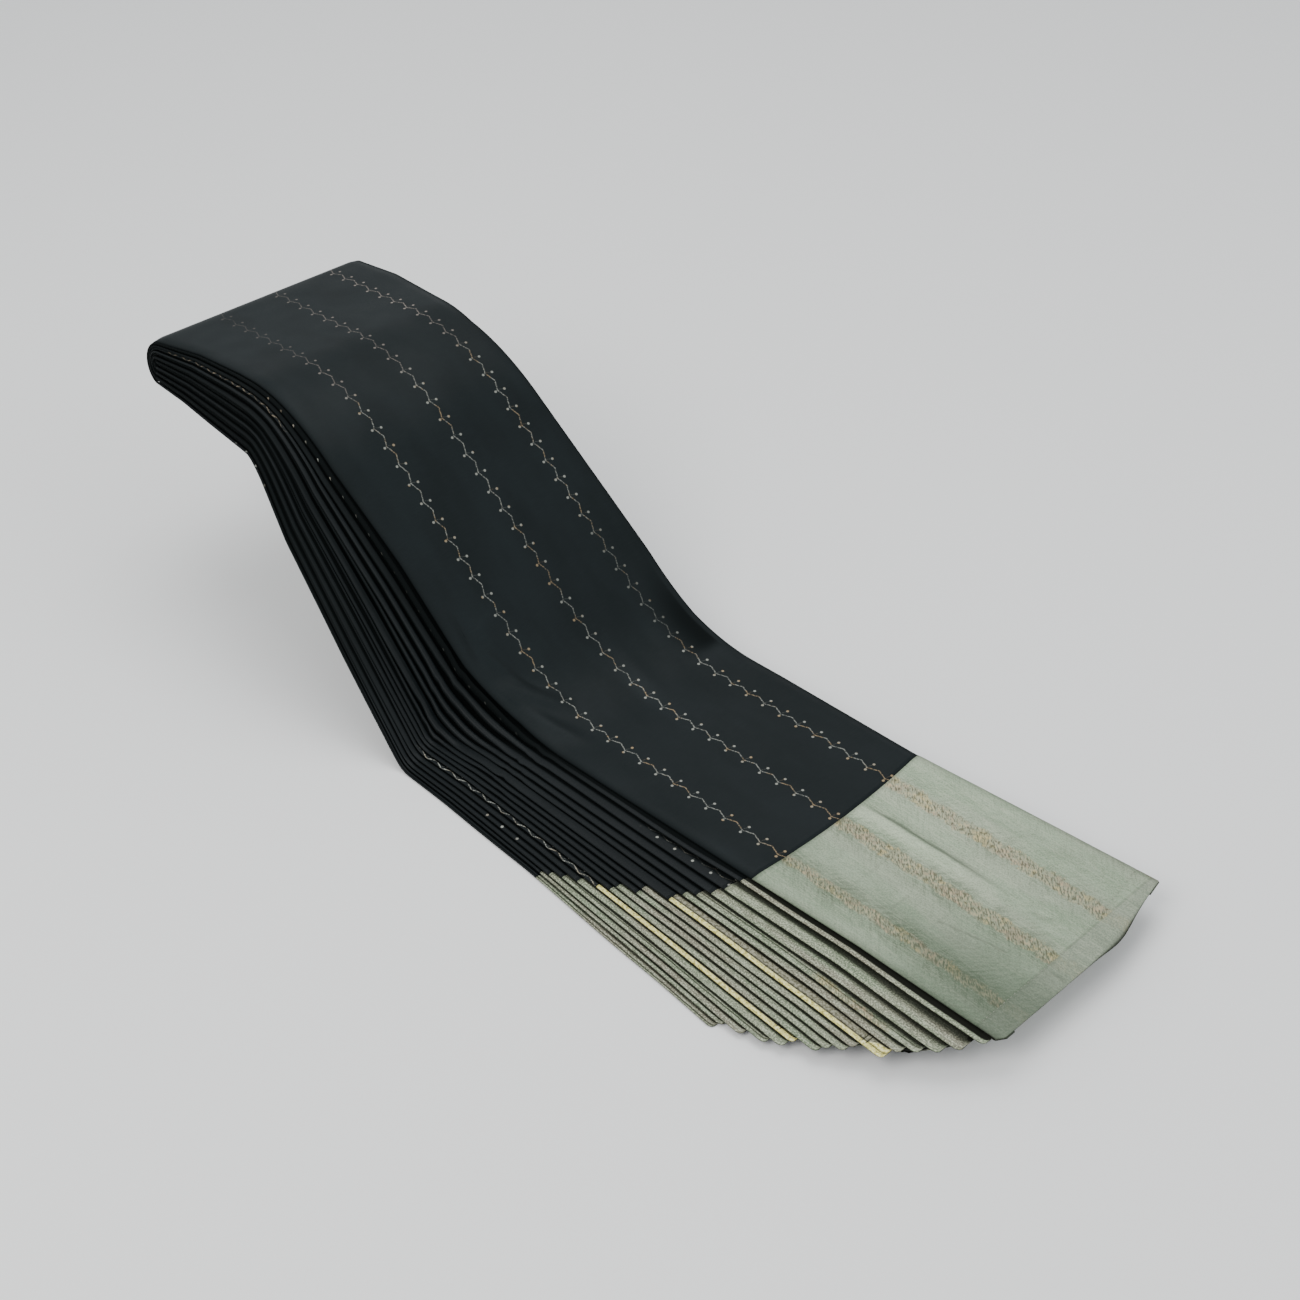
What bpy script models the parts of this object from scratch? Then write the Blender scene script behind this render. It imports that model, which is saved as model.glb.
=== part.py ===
"""A silk sari folded in lengthwise pleats, as it is laid out for show: the border end lies flat,
the middle climbs a slope and the far end lies level at the height of a shelf.

Run with blender --background --python part.py, or from Blender's text editor. Sizes in the tables
are millimetres. X runs along the pleats, 0 at the seam line between field and border and positive
towards the hem. Y runs across them, 0 on the middle vine stripe. Z is up from the surface.
"""

import math

import bmesh
import bpy
from mathutils import Vector

MM = 0.001

# The bounding box's centre, which becomes the part's origin.
CENTRE_X = -248.0
CENTRE_Y = -45.5

# The pile of pleats: sixteen folds under the top panel, counted from the surface upwards.
PLEATS = 16
PLEAT_PITCH = 1.9
WALL_SHARE = 0.78
PANEL_WALL = 1.6
SEAM_GAP = 0.3
SIDE_GAP = 0.5
LEAF_DEPTH = 19.0
NOSE = 0.9
NOSE_POINTS = 5

# The rise from the lower level to the upper one, for the lowest fold and for the top panel.
FOOT_LOWEST = 312.0
FOOT_PANEL = 252.5
FOOT_SKEW_PANEL = 0.10
FOOT_SHARP_UP_TO = 0.56
BROW_LOWEST = 519.0
BROW_PANEL = 514.5
BROW_SKEW = 0.03
RISE_LOWEST = 198.5
RISE_MORE_AT_RIGHT = 11.0
LEFT_SIDE = -130.0
RIGHT_SIDE = 90.0
RISE_PANEL = 205.8
FOOT_SOFT_LOWEST = 9.5
FOOT_SOFT_PANEL = 61.0
BROW_SOFT_LOWEST = 17.0
BROW_SOFT_PANEL = 65.0
TOP_FALL = -0.0557

# The far end, where the panel turns down round the pile and is tucked under.
TURN_X = -707.0
TURN_STEPS = 12
LEAF_TURN_STEPS = 9
TURN_ROOM = 0.6
TUCK = 30.0
TUCK_GAP = 0.5

# The hem of the top panel and the places where the hidden pile is cut in stretches.
HEM_X = 232.0
HEM_CORNER_BACK = 16.0
CUT_BORDER = -68.0
CUT_FOOT = -236.0
CUT_BROW = -485.0

# The hidden pile's free edges.
RIGHT_INSET = 5.0
RIGHT_LEAN = 8.0
GROOVE = 1.2
HEM_INSET = 7.0
HEM_LEAN = 34.0
UNDER_FAN = 9.0
FAN_LEAN = 33.0
TOP_OF_PILE = 0.99
PILE_COLUMNS = 4
PANEL_COLUMNS = 9

# Plan outline: where the lowest fold's edge and the panel's two edges run, at each place along X.
# columns: x, lowest fold's edge, panel's left edge, panel's right edge
OUTLINE = (
    (-741, -136, -133, 93),
    (-707, -141, -131, 93),
    (-656, -145, -120, 97),
    (-599, -152, -117, 92),
    (-532, -160, -118, 87),
    (-466, -175, -120, 89),
    (-390, -184, -115, 91),
    (-312, -191, -115, 93),
    (-253, -191, -107, 91),
    (-152, -194, -103, 95),
    (0, -201, -96, 98),
    (103, -207, -91, 106),
    (234, -215, -89, 115),
)

# One row for each fold of the fan, from the lowest up.
# columns: share of the way from the lowest fold's edge to the panel's, x where the border starts,
# x of its hem, cloth of its border stretch
FOLDS = (
    (0.00, -138, 66, "silver"),
    (0.05, -138, 70, "silver"),
    (0.08, -130, 87, "silver"),
    (0.13, -119, 105, "silver"),
    (0.18, -106, 117, "silver"),
    (0.24, -90, 121, "cream"),
    (0.28, -79, 139, "silver"),
    (0.33, -76, 144, "silver"),
    (0.38, -59, 154, "silver"),
    (0.43, -58, 158, "silver"),
    (0.48, -34, 179, "cream"),
    (0.57, -29, 185, "silver"),
    (0.63, -20, 195, "silver"),
    (0.70, -12, 206, "silver"),
    (0.79, -7, 216, "silver"),
    (0.89, -3, 225, "silver"),
)

# The panel's largest creases, as soft ridges.
# columns: x and y of one end, x and y of the other, half width, height
CREASES = (
    (10, 38, 150, 27, 14, 2.2),
    (-290, -104, -236, -62, 9, 2.0),
    (-268, -100, -196, -80, 8, 1.6),
    (-318, -100, -330, -50, 10, 1.4),
    (-222, 22, -60, 30, 16, 1.8),
    (-560, 30, -440, 12, 22, 1.5),
    (60, -58, 205, -70, 13, 1.6),
)

# Places along X where every piece has a section, closest together at the two bends.
SECTIONS = (
    -707, -690, -656, -620, -590, -565, -545, -530, -519, -508, -495, -478, -455, -425, -390, -355,
    -330, -320, -312, -304, -294, -280, -262, -244, -225, -200, -170, -138, -100, -50, 0, 50, 100, 150, 200,
)

# colour, roughness, metallic
CLOTHS = {
    "black": ((0.013, 0.017, 0.018), 0.48, 0.0),
    "silver": ((0.33, 0.37, 0.33), 0.42, 0.25),
    "cream": ((0.72, 0.65, 0.42), 0.45, 0.15),
}


def blend(low, high, share):
    return low + (high - low) * share


def column(x, index):
    """One column of the plan outline at x, straight between its rows."""
    for before, after in zip(OUTLINE, OUTLINE[1:]):
        if x <= after[0] or after is OUTLINE[-1]:
            share = (x - before[0]) / (after[0] - before[0])
            return blend(before[index], after[index], max(0.0, share))


def lowest_edge(x):
    return column(x, 1)


def panel_left(x):
    return column(x, 2)


def panel_right(x):
    return column(x, 3)


def bend(distance, soft):
    """Distance past a corner, eased over the soft length on both sides of it."""
    if distance < -soft:
        return 0.0
    if distance > soft:
        return distance
    return (distance + soft) ** 2 / (4 * soft)


def level(layer, x, y):
    """Height of the underside of a layer: 0 the lowest fold, 1 the top panel."""
    eased = max(0.0, (layer - FOOT_SHARP_UP_TO) / (1 - FOOT_SHARP_UP_TO)) ** 1.2
    foot = blend(FOOT_LOWEST, FOOT_PANEL - FOOT_SKEW_PANEL * y, eased)
    brow = blend(BROW_LOWEST, BROW_PANEL - BROW_SKEW * y, layer)
    to_right = min(1.0, max(0.0, (y - LEFT_SIDE) / (RIGHT_SIDE - LEFT_SIDE)))
    rise = blend(RISE_LOWEST + RISE_MORE_AT_RIGHT * to_right, RISE_PANEL, layer)
    slope = rise / (brow - foot)
    foot_soft = blend(FOOT_SOFT_LOWEST, FOOT_SOFT_PANEL, eased)
    brow_soft = blend(BROW_SOFT_LOWEST, BROW_SOFT_PANEL, layer)
    climb = slope * bend(-foot - x, foot_soft) + (TOP_FALL - slope) * bend(-brow - x, brow_soft)
    return PLEATS * PLEAT_PITCH * layer + climb


def fold_edge(number, x):
    """Where the edge of a fold of the fan runs."""
    return blend(lowest_edge(x), panel_left(x), FOLDS[number][0])


def leaf_inner(layer, x):
    """Where the visible leaves end and the hidden pile begins."""
    return blend(lowest_edge(x), panel_left(x), layer) + LEAF_DEPTH


def sections(start, end):
    """The places along X between two ends, with the ends themselves."""
    margin = 3.0
    inner = [x for x in SECTIONS if start + margin < x < end - margin]
    return [start] + inner + [end]


def cloth(name):
    """The material of one of the cloths, made once."""
    found = bpy.data.materials.get(name)
    if found:
        return found
    colour, roughness, metallic = CLOTHS[name]
    made = bpy.data.materials.new(name)
    made.use_nodes = True
    shader = made.node_tree.nodes["Principled BSDF"]
    shader.inputs["Base Color"].default_value = (*colour, 1)
    shader.inputs["Roughness"].default_value = roughness
    shader.inputs["Metallic"].default_value = metallic
    made.diffuse_color = (*colour, 1)
    return made


def place(point):
    """A point in millimetres, moved to the part's origin and given in metres."""
    x, y, z = point
    return Vector((x - CENTRE_X, y - CENTRE_Y, z)) * MM


def object_from(name, mesh, material, collection):
    mesh.normal_update()
    data = bpy.data.meshes.new(name)
    mesh.to_mesh(data)
    mesh.free()
    data.materials.append(cloth(material))
    made = bpy.data.objects.new(name, data)
    collection.objects.link(made)
    return made


def quads_between(mesh, first, second, closed):
    """Joins two rows of the same number of vertices."""
    count = len(first)
    for i in range(count if closed else count - 1):
        j = (i + 1) % count
        mesh.faces.new((first[i], first[j], second[j], second[i]))


def loft(name, rings, material, collection):
    """A closed solid through rings of points, with flat ends."""
    mesh = bmesh.new()
    rows = [[mesh.verts.new(place(point)) for point in ring] for ring in rings]
    for first, second in zip(rows, rows[1:]):
        quads_between(mesh, first, second, closed=True)
    mesh.faces.new(list(reversed(rows[0])))
    mesh.faces.new(rows[-1])
    bmesh.ops.recalc_face_normals(mesh, faces=mesh.faces)
    return object_from(name, mesh, material, collection)


def leaf_outline(edge, inner):
    """Section across one leaf of the fan as pairs of y and share of its wall: a rounded fold at its
    edge, square where it is hidden."""
    nose = []
    for step in range(NOSE_POINTS):
        angle = math.pi * (step / (NOSE_POINTS - 1) - 0.5)
        nose.append((edge + NOSE * (1 - math.cos(angle)), 0.5 + 0.5 * math.sin(angle)))
    return [(inner, 0.0)] + nose + [(inner, 1.0)]


def leaf_ring(number, x):
    """The section of a leaf where it lies level or on the slope."""
    layer = number / PLEATS
    ring = []
    for y, share in leaf_outline(fold_edge(number, x), leaf_inner(layer, x)):
        low = level(layer, x, y)
        room = level(layer + 1 / PLEATS, x, y) - low
        ring.append((x, y, low + share * WALL_SHARE * room))
    return ring


def turn_circle(y):
    """Height of the middle of the turn at the far end, and its inner radius."""
    top = level(1, TURN_X, y)
    bottom = level(0, TURN_X, y) - TUCK_GAP
    return (top + bottom) / 2, (top - bottom) / 2


def turned_leaf_ring(number, turned):
    """The section of an upper leaf on its way round the far end, turned from 0 to 1, where it meets
    the lower leaf that it runs on as."""
    partner = PLEATS - 1 - number
    edge = blend(fold_edge(number, TURN_X), fold_edge(partner, TURN_X), turned)
    inner_above = leaf_inner(number / PLEATS, TURN_X)
    inner_below = leaf_inner(partner / PLEATS, TURN_X)
    angle = math.pi * turned
    ring = []
    for y, share in leaf_outline(edge, blend(inner_above, inner_below, turned)):
        middle, _ = turn_circle(y)
        radius = level((number + WALL_SHARE * share) / PLEATS, TURN_X, y) - middle
        reach = radius * math.sin(angle)
        ring.append((TURN_X - reach, y, middle + radius * math.cos(angle) + TOP_FALL * reach))
    return ring


def build_leaf(number, collection):
    """One fold of the fan: its field stretch and its border stretch. The upper leaves turn down at
    the far end and meet the lower ones."""
    _, seam, hem, border_cloth = FOLDS[number]
    label = f"pleat_{number + 1:02d}"
    if number < PLEATS / 2:
        field = [leaf_ring(number, x) for x in sections(TURN_X + SEAM_GAP, seam)]
    else:
        steps = range(LEAF_TURN_STEPS, 0, -1)
        field = [turned_leaf_ring(number, step / LEAF_TURN_STEPS) for step in steps]
        field += [leaf_ring(number, x) for x in sections(TURN_X, seam)]
    border = [leaf_ring(number, x) for x in sections(seam + SEAM_GAP, hem)]
    loft(f"{label}_field", field, "black", collection)
    loft(f"{label}_border", border, border_cloth, collection)


def nose_reach(layer, y):
    """How far past the turn's start a hidden layer reaches, inside the half round of the turn."""
    middle, radius = turn_circle(y)
    aside = level(layer, TURN_X, y) - middle
    return math.sqrt(max(0.0, (radius - TURN_ROOM) ** 2 - aside ** 2))


def fan_outline(x):
    """The outermost fold's edge and its layer at x past the shorter folds' hems, straight from hem
    to hem."""
    tips = []
    for number, (_, _, hem, _) in enumerate(FOLDS):
        tips.append((hem, fold_edge(number, hem), number / PLEATS))
    tips.append((HEM_X, panel_left(HEM_X), 1.0))
    for before, after in zip(tips, tips[1:]):
        if x <= after[0] or after is tips[-1]:
            share = max(0.0, (x - before[0]) / (after[0] - before[0]))
            return blend(before[1], after[1], share), blend(before[2], after[2], share)


def pile_left(layer, x):
    """The left edge of a hidden layer: behind the leaves, and drawn in under the fan's hems, the
    lower the further."""
    edge, edge_layer = fan_outline(x)
    drawn_in = UNDER_FAN + FAN_LEAN * max(0.0, edge_layer - layer)
    return max(leaf_inner(layer, x) + SIDE_GAP, edge + drawn_in)


def hem_back(x, y):
    """How far the border's right side is drawn back, so that its hem runs askew to the corner."""
    return HEM_CORNER_BACK * max(0.0, y / panel_right(x)) ** 1.5 * max(0.0, x) / HEM_X


def pile_rows(layer, stations, groove):
    """One layer of the pile as rows of points across it, one row at each station."""
    rows = []
    for x in stations:
        y_left = pile_left(layer, x) + groove
        y_right = panel_right(x) - RIGHT_INSET - RIGHT_LEAN * (1 - layer) - groove
        row = []
        for step in range(PILE_COLUMNS):
            y = blend(y_left, y_right, step / (PILE_COLUMNS - 1))
            row.append((x - hem_back(x, y), y, level(layer, x, y)))
        rows.append(row)
    return rows


def rim_of(rows):
    """The outer points of rows of points, once round."""
    left = [row[0] for row in rows]
    right = [row[-1] for row in rows]
    return left + rows[-1][1:-1] + right[::-1] + rows[0][1:-1][::-1]


def build_pile(name, stations_of, material, collection):
    """A stretch of the hidden layers as one solid, its free edges grooved between the layers."""
    steps = [(0.0, GROOVE / 2)]
    for pleat in range(PLEATS):
        steps += [((pleat + 0.35) / PLEATS, 0.0), ((pleat + 0.92) / PLEATS, GROOVE)]
    steps[-1] = (TOP_OF_PILE, GROOVE / 2)
    mesh = bmesh.new()
    rims = []
    for index, (layer, groove) in enumerate(steps):
        rows = pile_rows(layer, stations_of(layer), groove)
        if index in (0, len(steps) - 1):
            grid = [[mesh.verts.new(place(point)) for point in row] for row in rows]
            for first, second in zip(grid, grid[1:]):
                quads_between(mesh, first, second, closed=False)
            rims.append(rim_of(grid))
        else:
            rims.append([mesh.verts.new(place(point)) for point in rim_of(rows)])
    for first, second in zip(rims, rims[1:]):
        quads_between(mesh, first, second, closed=True)
    bmesh.ops.recalc_face_normals(mesh, faces=mesh.faces)
    return object_from(name, mesh, material, collection)


def crease_height(x, y):
    """How far the panel stands up at the ridges of its largest creases."""
    height = 0.0
    for x0, y0, x1, y1, half_width, ridge in CREASES:
        along = Vector((x1 - x0, y1 - y0))
        from_end = Vector((x - x0, y - y0))
        share = from_end.dot(along) / along.length_squared
        if 0 < share < 1:
            aside = abs(from_end.cross(along)) / along.length
            ends = math.sin(math.pi * share)
            height += ridge * ends * math.exp(-((aside / half_width) ** 2))
    return height


def across(x, step):
    return blend(panel_left(x), panel_right(x), step / (PANEL_COLUMNS - 1))


def panel_row(x):
    """One row of points across the panel's underside."""
    ys = [across(x, step) for step in range(PANEL_COLUMNS)]
    return [(x, y, level(1, x, y) + crease_height(x, y)) for y in ys]


def turn_rows():
    """The rows where the panel turns down round the far end and runs back under the pile."""
    rows = []
    ys = [across(TURN_X, step) for step in range(PANEL_COLUMNS)]
    for place_under in (TUCK, TUCK / 2):
        x = TURN_X + place_under
        rows.append([(x, y, level(0, x, y) - TUCK_GAP) for y in ys])
    for step in range(TURN_STEPS):
        angle = math.pi * (step / TURN_STEPS + 0.5)
        row = []
        for y in ys:
            middle, radius = turn_circle(y)
            reach = -radius * math.cos(angle)
            row.append((TURN_X - reach, y, middle - radius * math.sin(angle) + TOP_FALL * reach))
        rows.append(row)
    return rows


def shell_from_rows(name, rows, material, collection):
    """An open sheet through rows of points, thickened outwards to the panel's wall."""
    mesh = bmesh.new()
    grid = [[mesh.verts.new(place(point)) for point in row] for row in rows]
    for first, second in zip(grid, grid[1:]):
        quads_between(mesh, second, first, closed=False)
    made = object_from(name, mesh, material, collection)
    wall = made.modifiers.new("Wall", "SOLIDIFY")
    wall.thickness = PANEL_WALL * MM
    wall.offset = 1
    wall.use_even_offset = True
    return made


def build_panel(collection):
    """The top pleat: field stretch with its turn at the far end, and border stretch with its hem."""
    rows = turn_rows() + [panel_row(x) for x in sections(TURN_X, -SEAM_GAP)]
    shell_from_rows("panel_field", rows, "black", collection)
    rows = []
    for x in sections(0.0, HEM_X):
        row = []
        for step in range(PANEL_COLUMNS):
            y = across(x, step)
            row.append((x - hem_back(x, y), y, level(1, x, y) + crease_height(x, y)))
        rows.append(row)
    shell_from_rows("panel_border", rows, "silver", collection)


def top_stations(layer):
    far = TURN_X - nose_reach(layer, RIGHT_SIDE)
    return [far] + sections(TURN_X, CUT_BROW - SEAM_GAP / 2)[1:]


def border_stations(layer):
    hem = HEM_X - HEM_INSET - HEM_LEAN * (1 - layer)
    return [CUT_BORDER + SEAM_GAP / 2] + [hem * step / 8 for step in range(9)]


def build_stack(collection):
    """The hidden layers, cut into stretches at the bends and at the border."""
    slope = sections(CUT_BROW + SEAM_GAP / 2, CUT_FOOT - SEAM_GAP / 2)
    flat = sections(CUT_FOOT + SEAM_GAP / 2, CUT_BORDER - SEAM_GAP / 2)
    build_pile("stack_top", top_stations, "black", collection)
    build_pile("stack_slope", lambda layer: slope, "black", collection)
    build_pile("stack_flat", lambda layer: flat, "black", collection)
    build_pile("stack_border", border_stations, "silver", collection)


def main():
    for old in list(bpy.data.objects):
        bpy.data.objects.remove(old, do_unlink=True)
    collection = bpy.data.collections.new("folded_sari")
    bpy.context.scene.collection.children.link(collection)
    build_stack(collection)
    for number in range(PLEATS):
        build_leaf(number, collection)
    build_panel(collection)


main()
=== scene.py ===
"""The looks of the folded sari: the cloth of every pleat, its weave, borders, hem and creases, with
the floor, the light and the camera.

Sizes are millimetres until a point is placed. X runs along the pleats, 0 at the seam line between
field and border and positive towards the hem. Y runs across them, 0 on the middle vine stripe.
"""

import math
from collections import namedtuple
from functools import partialmethod
from itertools import accumulate, pairwise

import bmesh
import bpy
from mathutils import Matrix, Vector, noise


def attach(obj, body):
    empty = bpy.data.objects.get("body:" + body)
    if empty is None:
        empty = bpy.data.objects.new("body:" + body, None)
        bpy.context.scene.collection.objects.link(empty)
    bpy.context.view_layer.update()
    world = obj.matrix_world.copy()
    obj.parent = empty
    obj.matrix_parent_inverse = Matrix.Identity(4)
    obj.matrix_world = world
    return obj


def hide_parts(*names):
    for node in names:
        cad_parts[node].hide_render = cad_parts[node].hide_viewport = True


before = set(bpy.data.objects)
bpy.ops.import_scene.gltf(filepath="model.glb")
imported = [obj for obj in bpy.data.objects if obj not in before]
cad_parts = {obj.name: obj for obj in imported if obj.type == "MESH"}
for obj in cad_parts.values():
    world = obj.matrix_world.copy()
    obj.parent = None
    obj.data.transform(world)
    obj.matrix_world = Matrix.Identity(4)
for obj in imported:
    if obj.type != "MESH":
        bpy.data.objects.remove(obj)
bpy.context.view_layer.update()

MM = 0.001
CENTRE_X = -248
CENTRE_Y = -45.5

# The pile of pleats, as in the part's own measurements.
PLEATS = 16
TOPMOST = PLEATS - 1
PLEAT_PITCH = 1.9
WALL_SHARE = 0.78
PANEL_WALL = 1.6
TUCK_GAP = 0.5
LEAF_DEPTH = 19

FOOT_LOWEST = 312
FOOT_PANEL = 252.5
FOOT_SKEW_PANEL = 0.1
FOOT_SHARP_UP_TO = 0.56
BROW_LOWEST = 519
BROW_PANEL = 514.5
BROW_SKEW = 0.03
RISE_LOWEST = 198.5
RISE_MORE_AT_RIGHT = 11
LEFT_SIDE = -130
RIGHT_SIDE = 90
RISE_PANEL = 205.8
FOOT_SOFT_LOWEST = 9.5
FOOT_SOFT_PANEL = 61
BROW_SOFT_LOWEST = 17
BROW_SOFT_PANEL = 65
TOP_FALL = -0.0557

TURN_X = -707
TUCK = 30
HEM_X = 232
HEM_CORNER_BACK = 16
HEM_DEPTH = 20
STITCH_LINE = HEM_X - HEM_DEPTH
SEAM_GAP = 0.3
OVERHANG = 2.2
RIGHT_INSET = 5
RIGHT_LEAN = 8
HEM_INSET = 7
HEM_LEAN = 34
UNDER_FAN = 9
FAN_LEAN = 33

# columns: x, lowest fold's edge, panel's left edge, panel's right edge
LOWEST_EDGE, PANEL_LEFT, PANEL_RIGHT = 1, 2, 3
OUTLINE = (
    (-741, -136, -133, 93),
    (-707, -141, -131, 93),
    (-656, -145, -120, 97),
    (-599, -152, -117, 92),
    (-532, -160, -118, 87),
    (-466, -175, -120, 89),
    (-390, -184, -115, 91),
    (-312, -191, -115, 93),
    (-253, -191, -107, 91),
    (-152, -194, -103, 95),
    (0, -201, -96, 98),
    (103, -207, -91, 106),
    (234, -215, -89, 115),
)

# share: of the way from the lowest fold's edge to the panel's; seam and hem: x where the border
# starts and ends; cloth: of its border stretch; strays and dark: how far its edge strays on the
# raised stretch and how much shade is painted on it there; vine: where the berries of its vine lie
# past its edge (minus where the stem is further in than they are); vine_from and vine_to: x where they
# show
Fold = namedtuple("Fold", "share seam hem cloth strays dark vine vine_from vine_to")
FOLDS = [Fold(*row) for row in (
    (0, -138, 66, "tissue", 0, 0.35, 1.8, -556, -505),
    (0.05, -138, 70, "tissue", 1, 0.6, 0, 0, 0),
    (0.08, -130, 87, "tissue", -0.5, 0.55, 0, 0, 0),
    (0.13, -119, 105, "tissue", 1.6, 0.75, 2.2, -222, -170),
    (0.18, -106, 117, "tissue", -0.9, 0.4, 0, 0, 0),
    (0.24, -90, 121, "cream", 1.4, 0.7, 6.6, -306, -96),
    (0.28, -79, 139, "tissue", -0.6, 0.2, 0, 0, 0),
    (0.33, -76, 144, "tissue", 1.8, 0.75, 0, 0, 0),
    (0.38, -59, 154, "tissue", 0.2, 0.45, 0, 0, 0),
    (0.43, -58, 158, "tissue", 1.9, 0.8, 0, 0, 0),
    (0.48, -34, 179, "cream", -1, 0.3, 0, 0, 0),
    (0.57, -29, 185, "tissue", 1.5, 0.75, 0, 0, 0),
    (0.63, -20, 195, "tissue", -1.2, 0, 0, 0, 0),
    (0.7, -12, 206, "tissue", 1.2, 0, 6, -694, -520),
    (0.79, -7, 216, "tissue", -0.8, 0.45, -6.3, -93, -4),
    (0.89, -3, 225, "tissue", 0, 0.65, 0.4, -548, -240),
)]

# Creases of the top panel as soft ridges and troughs, the large ones first.
# columns: x and y of one end, x and y of the other, half width, height
CREASES = (
    (-290, -104, -236, -62, 8, 2.8),
    (-268, -100, -196, -80, 7, 2.2),
    (-318, -100, -330, -50, 9, 2),
    (-222, 22, -60, 30, 16, 1.8),
    (-560, 30, -440, 12, 22, 1.5),
    (60, -58, 205, -70, 13, 1.6),
    (-10, 3, 70, 5, 5, -0.6),
    (-352, -96, -300, -104, 5, -1.6),
    (-324, -101, -270, -80, 4, 1.1),
    (-290, -113, -256, -92, 3, 0.9),
    (-296, -90, -262, -70, 3.5, -0.8),
    (-300, 12, -160, 2, 9, 0.9),
    (-260, -6, -120, -18, 8, -0.7),
    (172, 22, 187, 25, 2.2, -0.5),
    (214, -19, 231, -17, 1.5, 0.6),
    (60, 70, 200, 84, 12, 0.8),
    (-540, -70, -470, -60, 14, 0.9),
    (-600, 60, -520, 40, 18, -0.9),
)

# The cloth's slight waviness. columns: height, seed, length
WAVES = ((0.35, 3, 60), (0.12, 5, 17))


def blend(low, high, share):
    return low + (high - low) * share


def ease(low, high, value):
    """0 at low, 1 at high, eased between them; low may be the larger."""
    share = min(1, max(0, (value - low) / (high - low)))
    return share * share * (3 - 2 * share)


def hump(off):
    """1 at 0, falling away softly either side."""
    return math.exp(-off ** 2)


def within(x, start, end, before, after):
    """1 from start to end, eased to 0 over the lengths before and after them."""
    return ease(start - before, start, x) * ease(end + after, end, x)


def row_at(rows, x):
    """A table's row at x, straight between those either side."""
    for before, after in pairwise(rows):
        if x <= after[0] or after is rows[-1]:
            share = max(0, (x - before[0]) / (after[0] - before[0]))
            return [blend(low, high, share) for low, high in zip(before, after)]


def column(x, index):
    """One column of the plan outline at x."""
    return row_at(OUTLINE, x)[index]


def bend(distance, soft):
    if distance < -soft:
        return 0
    if distance > soft:
        return distance
    return (distance + soft) ** 2 / (4 * soft)


def level(layer, x, y):
    """Height of the underside of a layer: 0 the lowest fold, 1 the top panel."""
    eased = max(0, (layer - FOOT_SHARP_UP_TO) / (1 - FOOT_SHARP_UP_TO)) ** 1.2
    foot = blend(FOOT_LOWEST, FOOT_PANEL - FOOT_SKEW_PANEL * y, eased)
    brow = blend(BROW_LOWEST, BROW_PANEL - BROW_SKEW * y, layer)
    to_right = min(1, max(0, (y - LEFT_SIDE) / (RIGHT_SIDE - LEFT_SIDE)))
    rise = blend(RISE_LOWEST + RISE_MORE_AT_RIGHT * to_right, RISE_PANEL, layer)
    slope = rise / (brow - foot)
    foot_soft = blend(FOOT_SOFT_LOWEST, FOOT_SOFT_PANEL, eased)
    brow_soft = blend(BROW_SOFT_LOWEST, BROW_SOFT_PANEL, layer)
    climb = slope * bend(-foot - x, foot_soft) + (TOP_FALL - slope) * bend(-brow - x, brow_soft)
    return PLEATS * PLEAT_PITCH * layer + climb


def fold_edge(number, x):
    return blend(column(x, LOWEST_EDGE), column(x, PANEL_LEFT), FOLDS[number].share)


def leaf_inner(layer, x):
    return blend(column(x, LOWEST_EDGE), column(x, PANEL_LEFT), layer) + LEAF_DEPTH


def turn_circle(y):
    """Height of the middle of the turn at the far end, and its inner radius."""
    top = level(1, TURN_X, y)
    bottom = level(0, TURN_X, y) - TUCK_GAP
    return (top + bottom) / 2, (top - bottom) / 2


def fan_outline(x):
    """The outermost fold's edge and its layer at x past the shorter folds' hems."""
    tips = [(fold.hem, fold_edge(n, fold.hem), n / PLEATS) for n, fold in enumerate(FOLDS)]
    return row_at([*tips, (HEM_X, column(HEM_X, PANEL_LEFT), 1)], x)[1:]


def pile_left(layer, x):
    edge, edge_layer = fan_outline(x)
    drawn_in = UNDER_FAN + FAN_LEAN * max(0, edge_layer - layer)
    return max(leaf_inner(layer, x) + 0.5, edge + drawn_in)


def pile_right(layer, x):
    return column(x, PANEL_RIGHT) - RIGHT_INSET - RIGHT_LEAN * (1 - layer)


def seam_of_layer(layer):
    """Where field meets border in a hidden layer, following the leaves."""
    seams = [(n, fold.seam) for n, fold in enumerate(FOLDS)]
    return row_at(seams, min(layer * PLEATS, TOPMOST))[1]


def waver(x, y, seed, length):
    """A soft irregular swing between about -1 and 1."""
    return 2 * noise.noise(Vector((x / length, y / length, seed * 7.31)))


def placed(point):
    x, y, z = point
    return Vector((x - CENTRE_X, y - CENTRE_Y, z)) * MM


def spread(start, end, step):
    """Places from start to end about a step apart."""
    count = max(1, round(abs(end - start) / step))
    return [blend(start, end, i / count) for i in range(count + 1)]


# Cloth


def apart(first, second):
    return math.dist(first[:3], second[:3])


def cloth_coordinates(rows, zero_row, across_of, bowed):
    """Lengths along and across the cloth at every point, in millimetres of cloth, along from the
    zero row, or from x = 0 where that row is bowed."""
    along = [[0] * len(rows[0]) for _ in rows]
    if bowed:
        along[zero_row] = [-point[0] for point in rows[zero_row]]
    for step in (1, -1):
        i = zero_row + step
        while 0 <= i < len(rows):
            for j, point in enumerate(rows[i]):
                along[i][j] = along[i - step][j] - step * apart(point, rows[i - step][j])
            i += step
    across = []
    for row in rows:
        steps = (apart(*pair) for pair in pairwise(row))
        across.append(across_of(row, list(accumulate(steps, initial=0))))
    return along, across


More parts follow.
